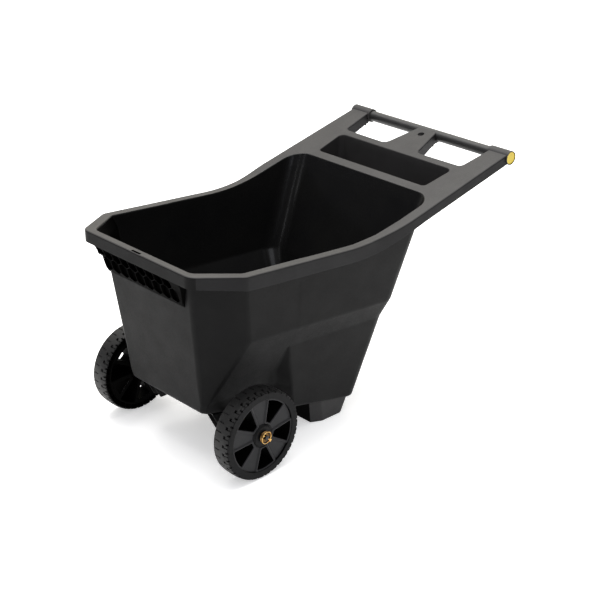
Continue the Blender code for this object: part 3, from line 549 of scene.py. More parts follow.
def loft_mirrored(name, rings):
    """Loft of mirrored loops, capped with strips that run straight across."""
    verts, faces = [], []
    n, m = len(rings[0]), len(rings)
    for r in rings:
        verts += r
    for j in range(m - 1):
        for i in range(n):
            k = (i + 1) % n
            a, b, c, d = j * n + i, j * n + k, (j + 1) * n + k, (j + 1) * n + i
            va, vb, vc, vd = [Vector(verts[v]) for v in (a, b, c, d)]
            if abs((vb - va).cross(vc - va).normalized().dot(vd - va)) < 2e-5:
                faces.append((a, b, c, d))
            elif rings[0][i][1] + rings[0][k][1] > 0:
                faces += [(a, b, c), (a, c, d)]
            else:
                faces += [(a, b, d), (b, c, d)]
    faces += ladder_cap(rings[0], 0, True) + ladder_cap(rings[-1], (m - 1) * n, False)
    return mesh_from(name, verts, faces)


def softened(rings, first, reach):
    """Adds rings round each crease, so that the wall turns over a distance and not along a line."""
    out = [rings[j] for j in range(first)]
    m, n = len(rings), len(rings[0])
    for j in range(first, m - 1):
        cols = []
        for i in range(n):
            p = Vector(rings[j][i])
            a, b = Vector(rings[j - 1][i]) - p, Vector(rings[j + 1][i]) - p
            t = min(reach, a.length * 0.45, b.length * 0.45)
            a.normalize()
            b.normalize()
            cols.append([p + a * t * (1 - f) ** 2 + b * t * f ** 2 for f in (0.0, 0.25, 0.5, 0.75, 1.0)])
        out += [[tuple(c[k]) for c in cols] for k in range(5)]
    return out + [rings[-1]]


def flare(loop, radius, n=7, top=0.03):
    """Rings of a cutter that leaves a rolled edge of that radius at the top surface."""
    rings = [[(x, y, z_top(x) + top) for x, y in offset_loop(loop, -radius)]]
    for k in range(n):
        a = math.pi / 2 * (1 - k / (n - 1))
        g, w = radius * (1 - math.cos(a)), -radius + (radius + 0.0003) * math.sin(a)
        rings.append([(x, y, z_top(x) + w) for x, y in (offset_loop(loop, -g) if g > 1e-7 else loop)])
    return rings


def tub_solid(name, inset):
    rings = [tub_ring(level, inset) for level in range(len(LEVELS))]
    if inset > 0:
        base = rings[0]
        loop = [(x, y) for x, y, z in base]
        rings = flare(loop, MOUTH_R) + softened(rings, 1, SOFT)[1:]
    else:
        rings = softened(rings, 1, SOFT)
    return loft_mirrored(name, rings)


def stations():
    return [-0.46, -0.30, -0.18] + [BEND_X + BEND_HALF * (k - 10) / 10 for k in range(21)] + [0.20]


def frame_lid(name):
    """Rim, rails and deck: a plate with rolled edges and a skirt all round, bent to the top surface."""
    loop = mirror_chain(outer_half() + notch())
    depth = [skirt_depth(x, y) for x, y in loop]
    rings = []
    for k in range(7):
        t = math.pi / 2 * k / 6
        o, w = RIM_R * (1 - math.sin(t)), -RIM_R * (1 - math.cos(t))
        ring = offset_loop(loop, o) if o > 1e-7 else loop
        rings.append([(x, y, w) for x, y in ring])
    for o, up in ((0.0, HEM_R), (HEM_R * 0.3, HEM_R * 0.3), (HEM_R, 0.0), (SKIRT_T - HEM_R, 0.0), (SKIRT_T - HEM_R * 0.3, HEM_R * 0.3), (SKIRT_T, HEM_R)):
        ring = offset_loop(loop, o) if o else loop
        rings.append([(x, y, up - d) for (x, y), d in zip(ring, depth)])
    rings.append([(x, y, -TOP_T) for x, y in offset_loop(loop, SKIRT_T)])
    me = loft(name, rings)
    bm = bmesh.new()
    bm.from_mesh(me)
    for x in stations():
        geom = bm.verts[:] + bm.edges[:] + bm.faces[:]
        bmesh.ops.bisect_plane(bm, geom=geom, dist=1e-6, plane_co=(x, 0, 0), plane_no=(1, 0, 0))
    for v in bm.verts:
        v.co.z += z_top(v.co.x)
    bmesh.ops.triangulate(bm, faces=[f for f in bm.faces if len(f.verts) > 4])
    bm.to_mesh(me)
    bm.free()
    return me


def tray_loop(g, drop=0.0):
    x0, x1 = TRAY_X0 - g + drop * 0.3, TRAY_X1 + g - drop
    half = [(x0, 0, 0), (x0, TRAY_Y0 + g - drop * 0.4, 0.012 + g), (x1, TRAY_Y1 + g - drop * 0.4, 0.016 + g), (x1, 0, 0)]
    return mirror_chain(rounded(half, 8))


def under_top(name, loop, w0, w1, loop2=None):
    """Prism whose ends follow the top surface, w0 and w1 below it."""
    loop2 = loop2 or loop
    return loft_mirrored(name, [[(x, y, z_top(x) + w0) for x, y in loop], [(x, y, z_top(x) + w1) for x, y in loop2]])


def tray_cutter():
    top = tray_loop(0.0)
    rings = flare(top, TRAY_R)
    mid = [(lerp(a[0], b[0], 0.94), lerp(a[1], b[1], 0.94)) for a, b in zip(top, tray_loop(0.0, 0.008))]
    low = tray_loop(0.0, 0.008)
    rings.append([(x, y, z_top(x) - TRAY_DEPTH + 0.0050) for x, y in mid])
    rings.append([(x, y, z_top(x) - TRAY_DEPTH + 0.0016) for x, y in offset_loop(low, 0.0010)])
    rings.append([(x, y, z_top(x) - TRAY_DEPTH) for x, y in offset_loop(low, 0.0045)])
    return loft_mirrored("tray_in", rings)


def hang_cutter():
    loop = circle(HANG_HOLE_X, 0, HANG_HOLE_R, 40)
    return loft_mirrored("hang", flare(loop, 0.0010, 5, 0.01) + [[(x, y, z_top(x) - 0.05) for x, y in loop]])


def foot_plan(g, z, seg):
    """Outline of one foot at height z, inset by g; it widens upwards, most of all at the rear."""
    x0, x1, y0, y1 = FOOT_X0 - 0.10 * z + g, FOOT_X1 + 0.50 * z - g, FOOT_Y0 - 0.03 * z + g, FOOT_Y1 + 0.02 * z - g
    ym = (y0 + y1) / 2
    pts = [(x0, ym, 0), (x0, y1 - 0.0180, 0.003), (x0 + 0.0310, y1 - 0.0022, 0.020), (x1, y1, 0.014 - g / 2), (x1, y0, 0.012 - g / 2), (x0, y0, 0.012 - g / 2), (x0, ym, 0)]
    return rounded(pts, seg)[:-1]


def foot_top(g, z0, off, seg):
    """The foot's walls run on from height z0 until they meet the tub's floor."""
    low, high = foot_plan(g, z0, seg), foot_plan(g, 0.06, seg)
    out = []
    for (xa, ya), (xb, yb) in zip(low, high):
        z = 0.06
        for k in range(12):
            t = (z - z0) / (0.06 - z0)
            z = z_floor(lerp(xa, xb, t)) + off
        t = (z - z0) / (0.06 - z0)
        out.append((lerp(xa, xb, t), lerp(ya, yb, t), z))
    return out


def foot(name, g, z0, z1_off):
    if g:
        return loft(name, [[(x, y, z0) for x, y in foot_plan(g, z0, 8)], foot_top(g, z0, z1_off, 8)])
    rings = [[(x, y, z0 + w) for x, y in foot_plan(o, z0 + w, 8)] for o, w in ((0.0022, 0.0), (0.0010, 0.0003), (0.0003, 0.0010))]
    rings.append([(x, y, z0 + 0.0022) for x, y in foot_plan(0.0, z0 + 0.0022, 8)])
    return loft(name, rings + [foot_top(0.0, z0 + 0.0022, z1_off, 8)])


def foot_cells():
    """The four hollow cells inside one foot, open at the sole."""
    core = foot("core", FOOT_WALL, -0.01, -0.0012)
    xm, ym, h = (FOOT_X0 + FOOT_X1) / 2, (FOOT_Y0 + FOOT_Y1) / 2, 0.0025
    core = combine(core, box("rib_x", xm - h, xm + h, 0.05, 0.25, -0.02, 0.2), "DIFFERENCE")
    return combine(core, box("rib_y", -0.2, 0.1, ym - h, ym + h, -0.02, 0.2), "DIFFERENCE")


def nose_x(z):
    """Outer face of the nose wall."""
    return -0.5385 + 0.122 * (0.570 - z)


def grip_block():
    """Block of the ribbed grip: a plain piece at the near end, its end face slanting, and the part with the cells."""
    prof = [(GRIP_FRONT[0][0], z_top(GRIP_FRONT[0][0]) - 0.0018)] + GRIP_FRONT
    prof += [(-0.5000, 0.4950), (-0.5000, z_top(-0.5) - 0.0018)]
    near, mid = [], []
    for x, z in prof:
        y = GRIP_NEAR_Y - 0.28 * (z - 0.500)
        near.append((x, y + (0.0110 + 0.06 * (z - 0.505) if x < -0.52 else 0.0), z))
        mid.append((x, -CELL_PITCH * (4.06 - 0.0055 * max(0.0, (z - 0.5150) * 1000)), z))
    return loft("grip", [near, mid, [(x, GRIP_FAR_Y, z) for x, z in prof]])


def grip_painted_shade(me):
    """The whole grip takes the painted deep shade that falls under the rim."""
    for p in me.polygons:
        p.material_index = 3
    return me


def grip_wing():
    """The upper row's last cell stands past the far end of the lower row."""
    prof = [(-0.5652, z_top(-0.5652) - 0.0020), (-0.5652, 0.5800), (-0.5572, 0.5660), (-0.5522, 0.5560)]
    rings = []
    for y in (0.1690, WING_Y):
        ring = prof + [(-0.5487, 0.5445), (-0.5003, 0.5445), (-0.5003, z_top(-0.5003) - 0.0020)]
        rings.append([(px, y, pz) for px, pz in ring])
    return loft("wing", rings)


def cells():
    """Hexagon cells of the grip in two rows; the lower cells are drawn out upwards."""
    r = (CELL_PITCH - 0.75 * CELL_RIB) / math.sqrt(3)
    out = []
    for row, first, last in ((0, -3.5, 4.5), (1, -3.0, 4.0)):
        cz = CELL_Z + row * CELL_PITCH * math.sqrt(3) / 2
        k = first
        while k <= last:
            cy = k * CELL_PITCH
            hexa = [(cy + r * math.sin(math.pi * j / 3), cz + r * math.cos(math.pi * j / 3)) for j in range(6)]
            if row:
                hexa = [(hexa[1][0], CELL_TOP)] + [(y, z + 0.0065) for y, z in hexa[2:5]] + [(hexa[5][0], CELL_TOP)]
            else:
                hexa = [(y, z + (0.0065 if z > cz else 0.0)) for y, z in hexa]
            hexa = clip(hexa, 1, GRIP_FAR_Y - 0.0026)
            out.append(loft("cell", [[(-0.5684, y, z) for y, z in hexa], [(nose_x(z) + 0.0012, y, z) for y, z in hexa]]))
            k += 1
    last = [(0.1582, CELL_TOP), (0.1582, 0.5483), (WING_Y - CELL_RIB, 0.5517), (WING_Y - CELL_RIB, CELL_TOP)]
    out.append(loft("cell", [[(-0.5684, y, z) for y, z in last], [(nose_x(z) + 0.0012, y, z) for y, z in last]]))
    return join(out)


def clip(poly, s, lim):
    """Keeps the part of a (y, z) polygon with s*y <= lim."""
    out = []
    for i, p in enumerate(poly):
        q = poly[(i + 1) % len(poly)]
        pin, qin = s * p[0] <= lim, s * q[0] <= lim
        if pin:
            out.append(p)
        if pin != qin:
            t = (s * lim - p[0]) / (q[0] - p[0])
            out.append((s * lim, lerp(p[1], q[1], t)))
    return out


PLUG_Y = 0.3058           # inner face of a plug's disc
SCREW_Y = 0.2620          # screw through a socket into the tube
BOLT_XS = (WHEEL_X - 0.034, WHEEL_X + 0.034)
BOLT_Y = 0.1290
FLOOR_TILT = math.atan(FLOOR_FALL)


def arc(r, y, rad, a0, a1, n=5):
    """Round corner of a lathe profile, centred on (r, y)."""
    return [(r + rad * math.cos(lerp(a0, a1, k / (n - 1))), y + rad * math.sin(lerp(a0, a1, k / (n - 1)))) for k in range(n)]


H = math.pi / 2


def socket():
    e = 0.0016
    prof = arc(SLEEVE_R - e, SLEEVE_Y0 + e, e, -H, 0) + arc(SLEEVE_R - 0.0008, SLEEVE_Y1 - 0.0008, 0.0008, 0, H)
    return lathe_y("socket", prof, 72, HANDLE_X, HANDLE_Z)


def catches():
    """Small catch teeth on the lower edge of the hand openings' side walls."""
    out = []
    for x0, x1, low in ((0.5245, 0.5295, 0.0372), (0.5330, 0.5400, 0.0335)):
        for outer in (True, False):
            prof = [(x0, -0.028), (x0 + 0.0008, -low), (x1 - 0.0022, -low), (x1, -0.028)]
            rings = []
            for back in (0.0004, 0.0030):
                ring = []
                for x, w in prof:
                    y = open_y(x)[0] + back if outer else open_y(x)[1] - back
                    ring.append((x, y, z_top(x) + w))
                rings.append(ring)
            out.append(loft("catch", rings if not outer else rings[::-1]))
    return both(join(out))


def dressed(me, index=0):
    """Gives a part of the body the moulding's plastic and its copies with painted shade, and puts all its faces on the
    one given by index.
    """
    me.materials.clear()
    for m in (POLY, POLY_INSIDE_GLOSS_SHADE, POLY_WALL_SHADE, POLY_DEEP_SHADE, POLY_SKIRT_SHADE):
        me.materials.append(m)
    if index:
        for p in me.polygons:
            p.material_index = index
    return me


def build_body():
    b = dressed(frame_lid("frame"))
    # The lid's upright faces take painted shade: skirts turned sideways take the skirt shade, the others the wall
    # shade.
    for p in b.polygons:
        if abs(p.normal.z) < 0.5:
            p.material_index = 4 if abs(p.normal.y) > 0.8 else 2
    # The whole outer tub wall takes the painted wall shade.
    b = combine(b, dressed(tub_solid("tub_out", 0.0), 2), "UNION")
    yc = BRIDGE_Y_REAR - 0.0012
    cradle = prism("cradle", [(0.5290, -yc - 0.004), (0.5290, yc + 0.004), (0.5625, yc), (0.5625, -yc)], 0.6462, 0.6635)
    add = [under_top("tray_out", tray_loop(0.003), -0.0015, -TRAY_DEPTH - 0.003, tray_loop(0.003, 0.008)),
           under_top("hang_boss", circle(HANG_HOLE_X, 0, HANG_HOLE_R + 0.003, 40), -0.0012, -0.014), both(socket()), cradle]
    b = combine(b, dressed(join(add)), "UNION")
    # The catches take the painted wall shade.
    b = combine(b, dressed(catches(), 2), "UNION")
    # The foot's faces take painted light and shade by the way they face: the sides the plain plastic, lighter than the
    # walls, the fronts the painted deep shade, the rest the painted wall shade.
    feet = dressed(both(foot("foot", 0.0, 0.0, 0.0020)), 2)
    for p in feet.polygons:
        if abs(p.normal.y) > 0.45:
            p.material_index = 0
        elif p.normal.x < -0.6:
            p.material_index = 3
    b = combine(b, feet, "UNION")
    # The grip block and the wing take the painted deep shade under the rim.
    b = combine(b, grip_painted_shade(dressed(grip_block(), 2)), "UNION")
    b = combine(b, dressed(grip_wing(), 3), "UNION")
    b = combine(b, dressed(tub_solid("tub_in", WALL), 1), "DIFFERENCE")
    b = combine(b, dressed(tray_cutter()), "DIFFERENCE")
    # Faces cut by the slot and the grip cells take the painted deep shade of the pockets, the foot cells the painted
    # wall shade.
    cut = [(hang_cutter(), 0), (box("slot", -0.5690, -0.5610, -0.0190, 0.0165, 0.55, 0.65), 3), (cells(), 3),
           (rod("tube_way", TUBE_R + GAP, -0.3055, 0.3055, HANDLE_X, HANDLE_Z, 72), 0), (both(foot_cells()), 2),
           (both(rod("plug_way", 0.0187, 0.3054, 0.3200, HANDLE_X, HANDLE_Z, 72)), 0)]
    for c, index in cut:
        b = combine(b, dressed(c, index), "DIFFERENCE")
    # Inside faces of the far nose chamfer take the painted deep shade, darkening a highlight there.
    for p in b.polygons:
        n = p.normal
        if p.material_index == 1 and p.center.x < -0.40 and n.x > 0.3 and abs(n.y) > 0.3 and n.z < 0.72 and p.center.z < z_top(p.center.x) - 0.0060:
            p.material_index = 3
    return b


def bolt_base(x):
    """Foot of a leaning bolt axis at z = 0 that meets the floor at x, and its length there."""
    z = z_floor(x)
    return x - z * math.tan(FLOOR_TILT), z / math.cos(FLOOR_TILT)


body = build_body()
piece("tub_shell", body, None, "cart", ("tub_and_deck",), 30)

# ------------------------------------------------------------------- handle
tube = loft("tube", [
    [(HANDLE_X + r * math.cos(a), y, HANDLE_Z + r * math.sin(a)) for a in [2 * math.pi * k / 96 for k in range(96)]]
    for r, y in ((TUBE_R - 0.0003, -0.3055), (TUBE_R, -0.3052), (TUBE_R, 0.3052), (TUBE_R - 0.0003, 0.3055), (TUBE_R - TUBE_WALL, 0.3055), (TUBE_R - TUBE_WALL, -0.3055))], closed_tube=True)
piece("push_tube", tube, TUBE, "cart", ("handle_tube",))


def plug_profile():
    """Stopper with a domed disc that has a shallow dished ring round its middle."""
    prof = [(0.0128, 0.2900), (0.0137, 0.2906), (0.0140, 0.2916), (0.0140, PLUG_Y), (0.0178, PLUG_Y)]
    prof += arc(0.0176, PLUG_Y + 0.0008, 0.0008, -H * 0.6, 0, 3) + [(0.0184, 0.3084)]
    prof += arc(0.0170, 0.3088, 0.0014, 0.0, H, 7)
    prof += [(0.0156, 0.3103), (0.0146, 0.3100), (0.0138, 0.3097), (0.0110, 0.3098), (0.0060, 0.3100), (0.0015, 0.3100)]
    return prof


plug = lathe_y("plug", plug_profile(), 96, HANDLE_X, HANDLE_Z)
piece("end_plug_far", plug, YELLOW, "cart", ("handle_plug_far",))
piece("end_plug_near", mirrored(plug), YELLOW, "cart", ("handle_plug_near",))

z_low = HANDLE_Z - SLEEVE_R
screw = lathe_y("screw", [(0.0012, z_low - 0.0030), (0.0016, z_low - 0.0036), (0.0028, z_low - 0.0034), (0.0038, z_low - 0.0027), (0.0043, z_low - 0.0016), (0.0043, z_low - GAP), (0.0022, z_low - GAP), (0.0022, z_low + 0.0085), (0.0008, z_low + 0.0110)], 40)
for v in screw.vertices:
    v.co = Vector((v.co.x, -v.co.z, v.co.y))
cross = join([box("c", -0.0022, 0.0022, -0.0004, 0.0004, z_low - 0.005, z_low - 0.0022)])
screw = combine(screw, cross, "DIFFERENCE")
screw = combine(screw, box("c", -0.0004, 0.0004, -0.0022, 0.0022, z_low - 0.005, z_low - 0.0022), "DIFFERENCE")
for side, s in (("far", 1), ("near", -1)):
    piece("tube_screw_" + side, moved(screw, HANDLE_X, s * SCREW_Y, 0), STEEL, "cart", ("handle_screw_" + side,))

# -------------------------------------------------------- axle and brackets
AXLE_END = 0.3045
PIN_Y = 0.2990
PIN_R = 0.0022
PIN_DIP = math.radians(-43)
RING_R, WIRE_R = 0.0167, 0.0013
HEAD_S0, HEAD_S1 = 0.0136, 0.0214


def shaft_z(name, profile, n):
    me = lathe_y(name, profile, n)
    for v in me.vertices:
        v.co = Vector((v.co.x, -v.co.z, v.co.y))
    return me


def on_pin(me):
    """Turns a mesh built along +X at y = 0 on to the far linch pin's line."""
    c, s = math.cos(PIN_DIP), math.sin(PIN_DIP)
    for v in me.vertices:
        x, z = v.co.x, v.co.z
        v.co = Vector((x * c - z * s + WHEEL_X, v.co.y + PIN_Y, x * s + z * c + WHEEL_Z))
    return me


def shaft_x(name, profile, n):
    me = lathe_y(name, profile, n)
    for v in me.vertices:
        v.co = Vector((v.co.y, -v.co.x, v.co.z))
    return me


def ring_point(a, b, wire):
    """Point of the snap ring: a round the ring from the pin's head, b round the wire."""
    r = RING_R + wire * math.cos(b)
    x = 0.0009 + r * math.cos(a)
    return (x, wire * math.sin(b) + 0.0019 * (1 - x / 0.0176), r * math.sin(a))


def snap_ring(name, wire, a0, n, m=16):
    rings = []
    for k in range(n + 1):
        a = a0 + (2 * math.pi - 2 * a0) * k / n
        rings.append([ring_point(a, 2 * math.pi * j / m, wire) for j in range(m)])
    return loft(name, rings)


axle = lathe_y("axle", [(0.0010, -AXLE_END)] + [(AXLE_R - 0.0012, -AXLE_END), (AXLE_R - 0.0004, -AXLE_END + 0.0003), (AXLE_R, -AXLE_END + 0.0012), (AXLE_R, AXLE_END - 0.0012), (AXLE_R - 0.0004, AXLE_END - 0.0003), (AXLE_R - 0.0012, AXLE_END)] + [(0.0010, AXLE_END)], 72, WHEEL_X, WHEEL_Z)
axle = combine(axle, both(on_pin(shaft_x("way", [(PIN_R + GAP, -0.02), (PIN_R + GAP, 0.02)], 32))), "DIFFERENCE")
piece("wheel_axle", axle, AXLE_STEEL, "cart", ("axle",))

pin = shaft_x("pin", [(0.0006, -0.0166), (PIN_R - 0.0008, -0.0163), (PIN_R - 0.0002, -0.0157), (PIN_R, -0.0150), (PIN_R, HEAD_S0 + 0.0020)], 32)
head = rounded([(HEAD_S0, 0.0, 0), (HEAD_S0, 0.0040, 0.0011), (HEAD_S1, 0.0040, 0.0034), (HEAD_S1, 0.0, 0)], 7)
head = head + [(s, -h) for s, h in reversed(head[1:-1])]
rings = []
for o, y in ((0.0008, -0.0030), (0.00024, -0.00276), (0.0, -0.0022), (0.0, 0.0022), (0.00024, 0.00276), (0.0008, 0.0030)):
    rings.append([(s, y, h) for s, h in (offset_loop(head, o) if o else head)])
pin = combine(pin, loft("head", rings), "UNION")
HOLE_A = math.asin(0.0025 / RING_R)
hole = []
for sign in (1, -1):
    rings = [[ring_point(sign * a, 2 * math.pi * j / 16, WIRE_R + GAP) for j in range(16)] for a in (HOLE_A - 0.02, 0.30, 0.36)]
    hole.append(loft("hole", rings))
pin = on_pin(combine(pin, join(hole), "DIFFERENCE"))
piece("linch_shaft_far", pin, ZINC, "cart", ("linch_pin_far",))
piece("linch_shaft_near", mirrored(pin), ZINC, "cart", ("linch_pin_near",))
ring = on_pin(snap_ring("ring", WIRE_R, HOLE_A, 72))
piece("snap_ring_far", ring, ZINC, "cart", ("linch_ring_far",), 60)
piece("snap_ring_near", mirrored(ring), ZINC, "cart", ("linch_ring_near",), 60)

e = 0.0004
washer = lathe_y("washer", arc(0.0165 - e, 0.2925 + e, e, -H, 0, 4) + arc(0.0165 - e, 0.2949 - e, e, 0, H, 4) + arc(0.0067 + e, 0.2949 - e, e, H, 2 * H, 4) + arc(0.0067 + e, 0.2925 + e, e, 2 * H, 3 * H, 4), 72, WHEEL_X, WHEEL_Z, bore=True)
piece("hub_washer_far", washer, ZINC_DULL_SHADE, "cart", ("washer_far",))
piece("hub_washer_near", mirrored(washer), ZINC_DULL_SHADE, "cart", ("washer_near",))

e = 0.0008
y0, y1 = BRACKET_Y1 + 0.0005, 0.2286
spacer = lathe_y("spacer", arc(0.0098 - e, y0 + e, e, -H, 0, 4) + arc(0.0098 - e, y1 - e, e, 0, H, 4) + [(0.0067, y1), (0.0067, y0)], 64, WHEEL_X, WHEEL_Z, bore=True)
piece("axle_sleeve_far", spacer, NYLON, "cart", ("spacer_far",))
piece("axle_sleeve_near", mirrored(spacer), NYLON, "cart", ("spacer_near",))

PLATE = 0.0030


def bracket():
    top = lambda x: z_floor(x) - GAP * 1.2
    xa, xb, xc, xd = WHEEL_X - 0.0520, WHEEL_X + 0.0480, WHEEL_X + 0.0220, WHEEL_X - 0.0210
    prof = [(xa, top(xa)), (xb, top(xb)), (xb, top(xb) - 0.004), (xc, 0.0900), (xc - 0.004, 0.0870), (xd + 0.004, 0.0870), (xd, 0.0900), (xa, top(xa) - 0.004)]
    me = loft("bracket", [[(x, y, z) for x, z in prof] for y in (BRACKET_Y0, BRACKET_Y1)])
    hollow = [(xa - 0.05, top(xa - 0.05) - PLATE), (xb + 0.05, top(xb + 0.05) - PLATE), (xb + 0.05, 0.05), (xa - 0.05, 0.05)]
    me = combine(me, loft("hollow", [[(x, y, z) for x, z in hollow] for y in (BRACKET_Y0 + PLATE, BRACKET_Y1 - PLATE)]), "DIFFERENCE")
    me = combine(me, rod("way", AXLE_R + GAP, 0.10, 0.17, WHEEL_X, WHEEL_Z), "DIFFERENCE")
    ways = join([post("way", 0.0033, 0.0, 0.3, bolt_base(x)[0], BOLT_Y, tilt=FLOOR_TILT) for x in BOLT_XS])
    return combine(me, ways, "DIFFERENCE")


br = bracket()
piece("bracket_far", br, PLATE_COAT, "cart", ("axle_bracket_far",), 32, 0.0006)
piece("bracket_near", mirrored(br), PLATE_COAT, "cart", ("axle_bracket_near",), 32, 0.0006)


def lean(me, base, length):
    s, c = math.sin(FLOOR_TILT), math.cos(FLOOR_TILT)
    for v in me.vertices:
        x, z = v.co.x, v.co.z + length
        v.co.x, v.co.z = base + x * c + z * s, -x * s + z * c
        v.co.y += BOLT_Y
    return me


for tag, x in (("front", BOLT_XS[0]), ("rear", BOLT_XS[1])):
    base, length = bolt_base(x)
    t = WALL * math.cos(FLOOR_TILT)
    prof = [(0.0016, -0.0125), (0.0024, -0.0123), (0.0030, -0.0113), (0.0030, t + GAP), (0.0063, t + GAP), (0.0066, t + 0.0007), (0.0064, t + 0.0014), (0.0052, t + 0.0024), (0.0034, t + 0.0030), (0.0012, t + 0.0031)]
    bolt = lean(shaft_z("bolt", prof, 40), base, length)
    z0, z1 = -0.0083, -0.0037
    hexr = []
    for cap, z in ((1, z0), (0, z0 + 0.0006), (0, z1 - 0.0006), (1, z1)):
        ring = []
        for k in range(48):
            a = 2 * math.pi * k / 48
            r = 0.0060 * math.cos(math.pi / 6) / math.cos((a % (math.pi / 3)) - math.pi / 6)
            r = min(r, 0.0052) if cap else r
            ring.append((r * math.cos(a), r * math.sin(a), z))
        hexr.append(ring)
    bore = [[(r * math.cos(2 * math.pi * k / 48), r * math.sin(2 * math.pi * k / 48), z) for k in range(48)] for r, z in ((0.0033, z0), (0.0033, z1))]
    nut = lean(loft("nut", [bore[0]] + hexr + [bore[1]], closed_tube=True), base, length)
    for side, s in (("far", 1), ("near", -1)):
        piece("carriage_bolt_%s_%s" % (side, tag), bolt if s > 0 else mirrored(bolt), STEEL, "cart", ("bracket_bolt_%s_%s" % (side, tag),))
        piece("hex_nut_%s_%s" % (side, tag), nut if s > 0 else mirrored(nut), STEEL, "cart", ("bracket_nut_%s_%s" % (side, tag),))

# ------------------------------------------------------------------- wheels
LUGS = 32
HUB_R, HUB_BORE = 0.0290, 0.0103
RIM_IN = 0.1030
FACE = WHEEL_Y
BACK = WHEEL_Y - WHEEL_W
MID = (FACE + BACK) / 2
WEB = 0.0060
RIB_FACE = FACE - 0.0016
PANEL = RIB_FACE - 0.0035
SPOKES = [355, 67, 139, 211, 283]      # clock angles seen from the near side

# Angular steps within one lug pitch, and the depth pattern over them
PHASES = [0.0, 0.02, 0.10, 0.17, 0.215, 0.235, 0.315, 0.335, 0.45, 0.55, 0.65, 0.69, 0.71, 0.75, 0.77, 0.86, 0.88, 0.92, 0.94, 0.97]
NOTCH_END, SLOT_A, SLOT_B, EDGE = 0.0025, -0.0090, -0.0150, 0.0195


def tread_r(u, y, r):
    """Tyre radius at phase u of a pitch and y across it, r where the tread is whole."""
    if 0.70 < u < 0.93 and y < -0.0215:
        return min(r, 0.1204)
    if 0.76 < u < 0.87 and y > NOTCH_END:
        return min(r, 0.1236)
    if 0.01 < u < 0.32 and SLOT_B < y < SLOT_A:
        return min(r, 0.1203)
    if 0.23 < u < 0.32 and y <= SLOT_B:
        return min(r, 0.1222 if y < -EDGE else 0.1232)
    return r


SHOULDER = [(0.1226, 0.0279), (0.1238, 0.0274), (0.1246, 0.0266), (0.1251, 0.0254), (0.1256, 0.0225), (0.1257, 0.0200), (0.1258, 0.0190), (0.1262, 0.0165)]
LIP = [(0.1030, 0.0262), (0.1034, 0.0272), (0.1042, 0.0278), (0.1052, 0.0280)]
CROWN = [(0.1264, 0.0129), (0.1266, 0.0100), (0.1268, 0.0060), (0.1269, 0.0029), (0.1269, 0.0021), (0.1270, -0.0010), (0.1270, -0.0050), (0.1269, -0.0086),
         (0.1269, -0.0094), (0.1268, -0.0120), (0.1266, -0.0146), (0.1266, -0.0154)]
CHANNEL = [(0.1076, 0.0280), (0.1080, 0.0276), (0.1088, -0.0160), (0.1182, -0.0160), (0.1198, 0.0276), (0.1202, 0.0280)]


def tyre(s, base):
    """Tyre ring; its face is on the s side and it is hollow from the other side."""
    face = LIP + [(0.1130, 0.0280), (0.1210, 0.0280)] + SHOULDER
    back = LIP + CHANNEL + SHOULDER
    one, two = (face, back) if s > 0 else (back, face)
    section = one + CROWN + [(r, -y) for r, y in reversed(two)]
    rings = []
    for lug in range(LUGS):
        for u in PHASES:
            a = 2 * math.pi * (lug + u) / LUGS + base
            ring = []
            for r, y in section:
                q = tread_r(u, y, r)
                ring.append((q * math.cos(a), y, q * math.sin(a)))
            rings.append(ring)
    ribs = []
    for k in range(LUGS):
        a = 2 * math.pi * (k + 0.72) / LUGS + base
        c, q, h = math.cos(a), math.sin(a), 0.0008
        for y in (-s * 0.0266, s * 0.0164):
            ribs.append([(r * c - w * q, y, r * q + w * c) for r, w in ((0.1072, -h), (0.1072, h), (0.1206, h), (0.1206, -h))])
    ribs = [loft("rib", ribs[2 * k:2 * k + 2]) for k in range(LUGS)]
    return join([loft("tyre", rings, closed_tube=True)] + ribs)


def window(g):
    """Outline of one window between two spokes, seen along the axle, opening by g more."""
    r0, r1 = 0.0385 - g, 0.0995 + g
    pts = []

    def edge(r):
        half = 0.0159 + (r - 0.039) * 0.264 - g        # half width of a spoke
        return math.radians(36) - math.asin(half / r)
    n_arc = 12
    pts.append((r0, 0.0, 0.0))
    pts.append((r0, edge(r0), 0.004))
    pts.append((r1, edge(r1), 0.006))
    arcs = [(r1, edge(r1) * (1 - k / n_arc), 0.0) for k in range(1, n_arc + 1)]
    xy = [(r * math.cos(a), r * math.sin(a), q) for r, a, q in pts + arcs]
    half = rounded(xy, 8)
    return half + [(x, -y) for x, y in reversed(half[1:-1])]


def turned_window(clock, loop, y):
    a0 = math.radians(90 - (clock + 36))
    ca, sa = math.cos(a0), math.sin(a0)
    return [(x * ca - z * sa, y, x * sa + z * ca) for x, z in loop]


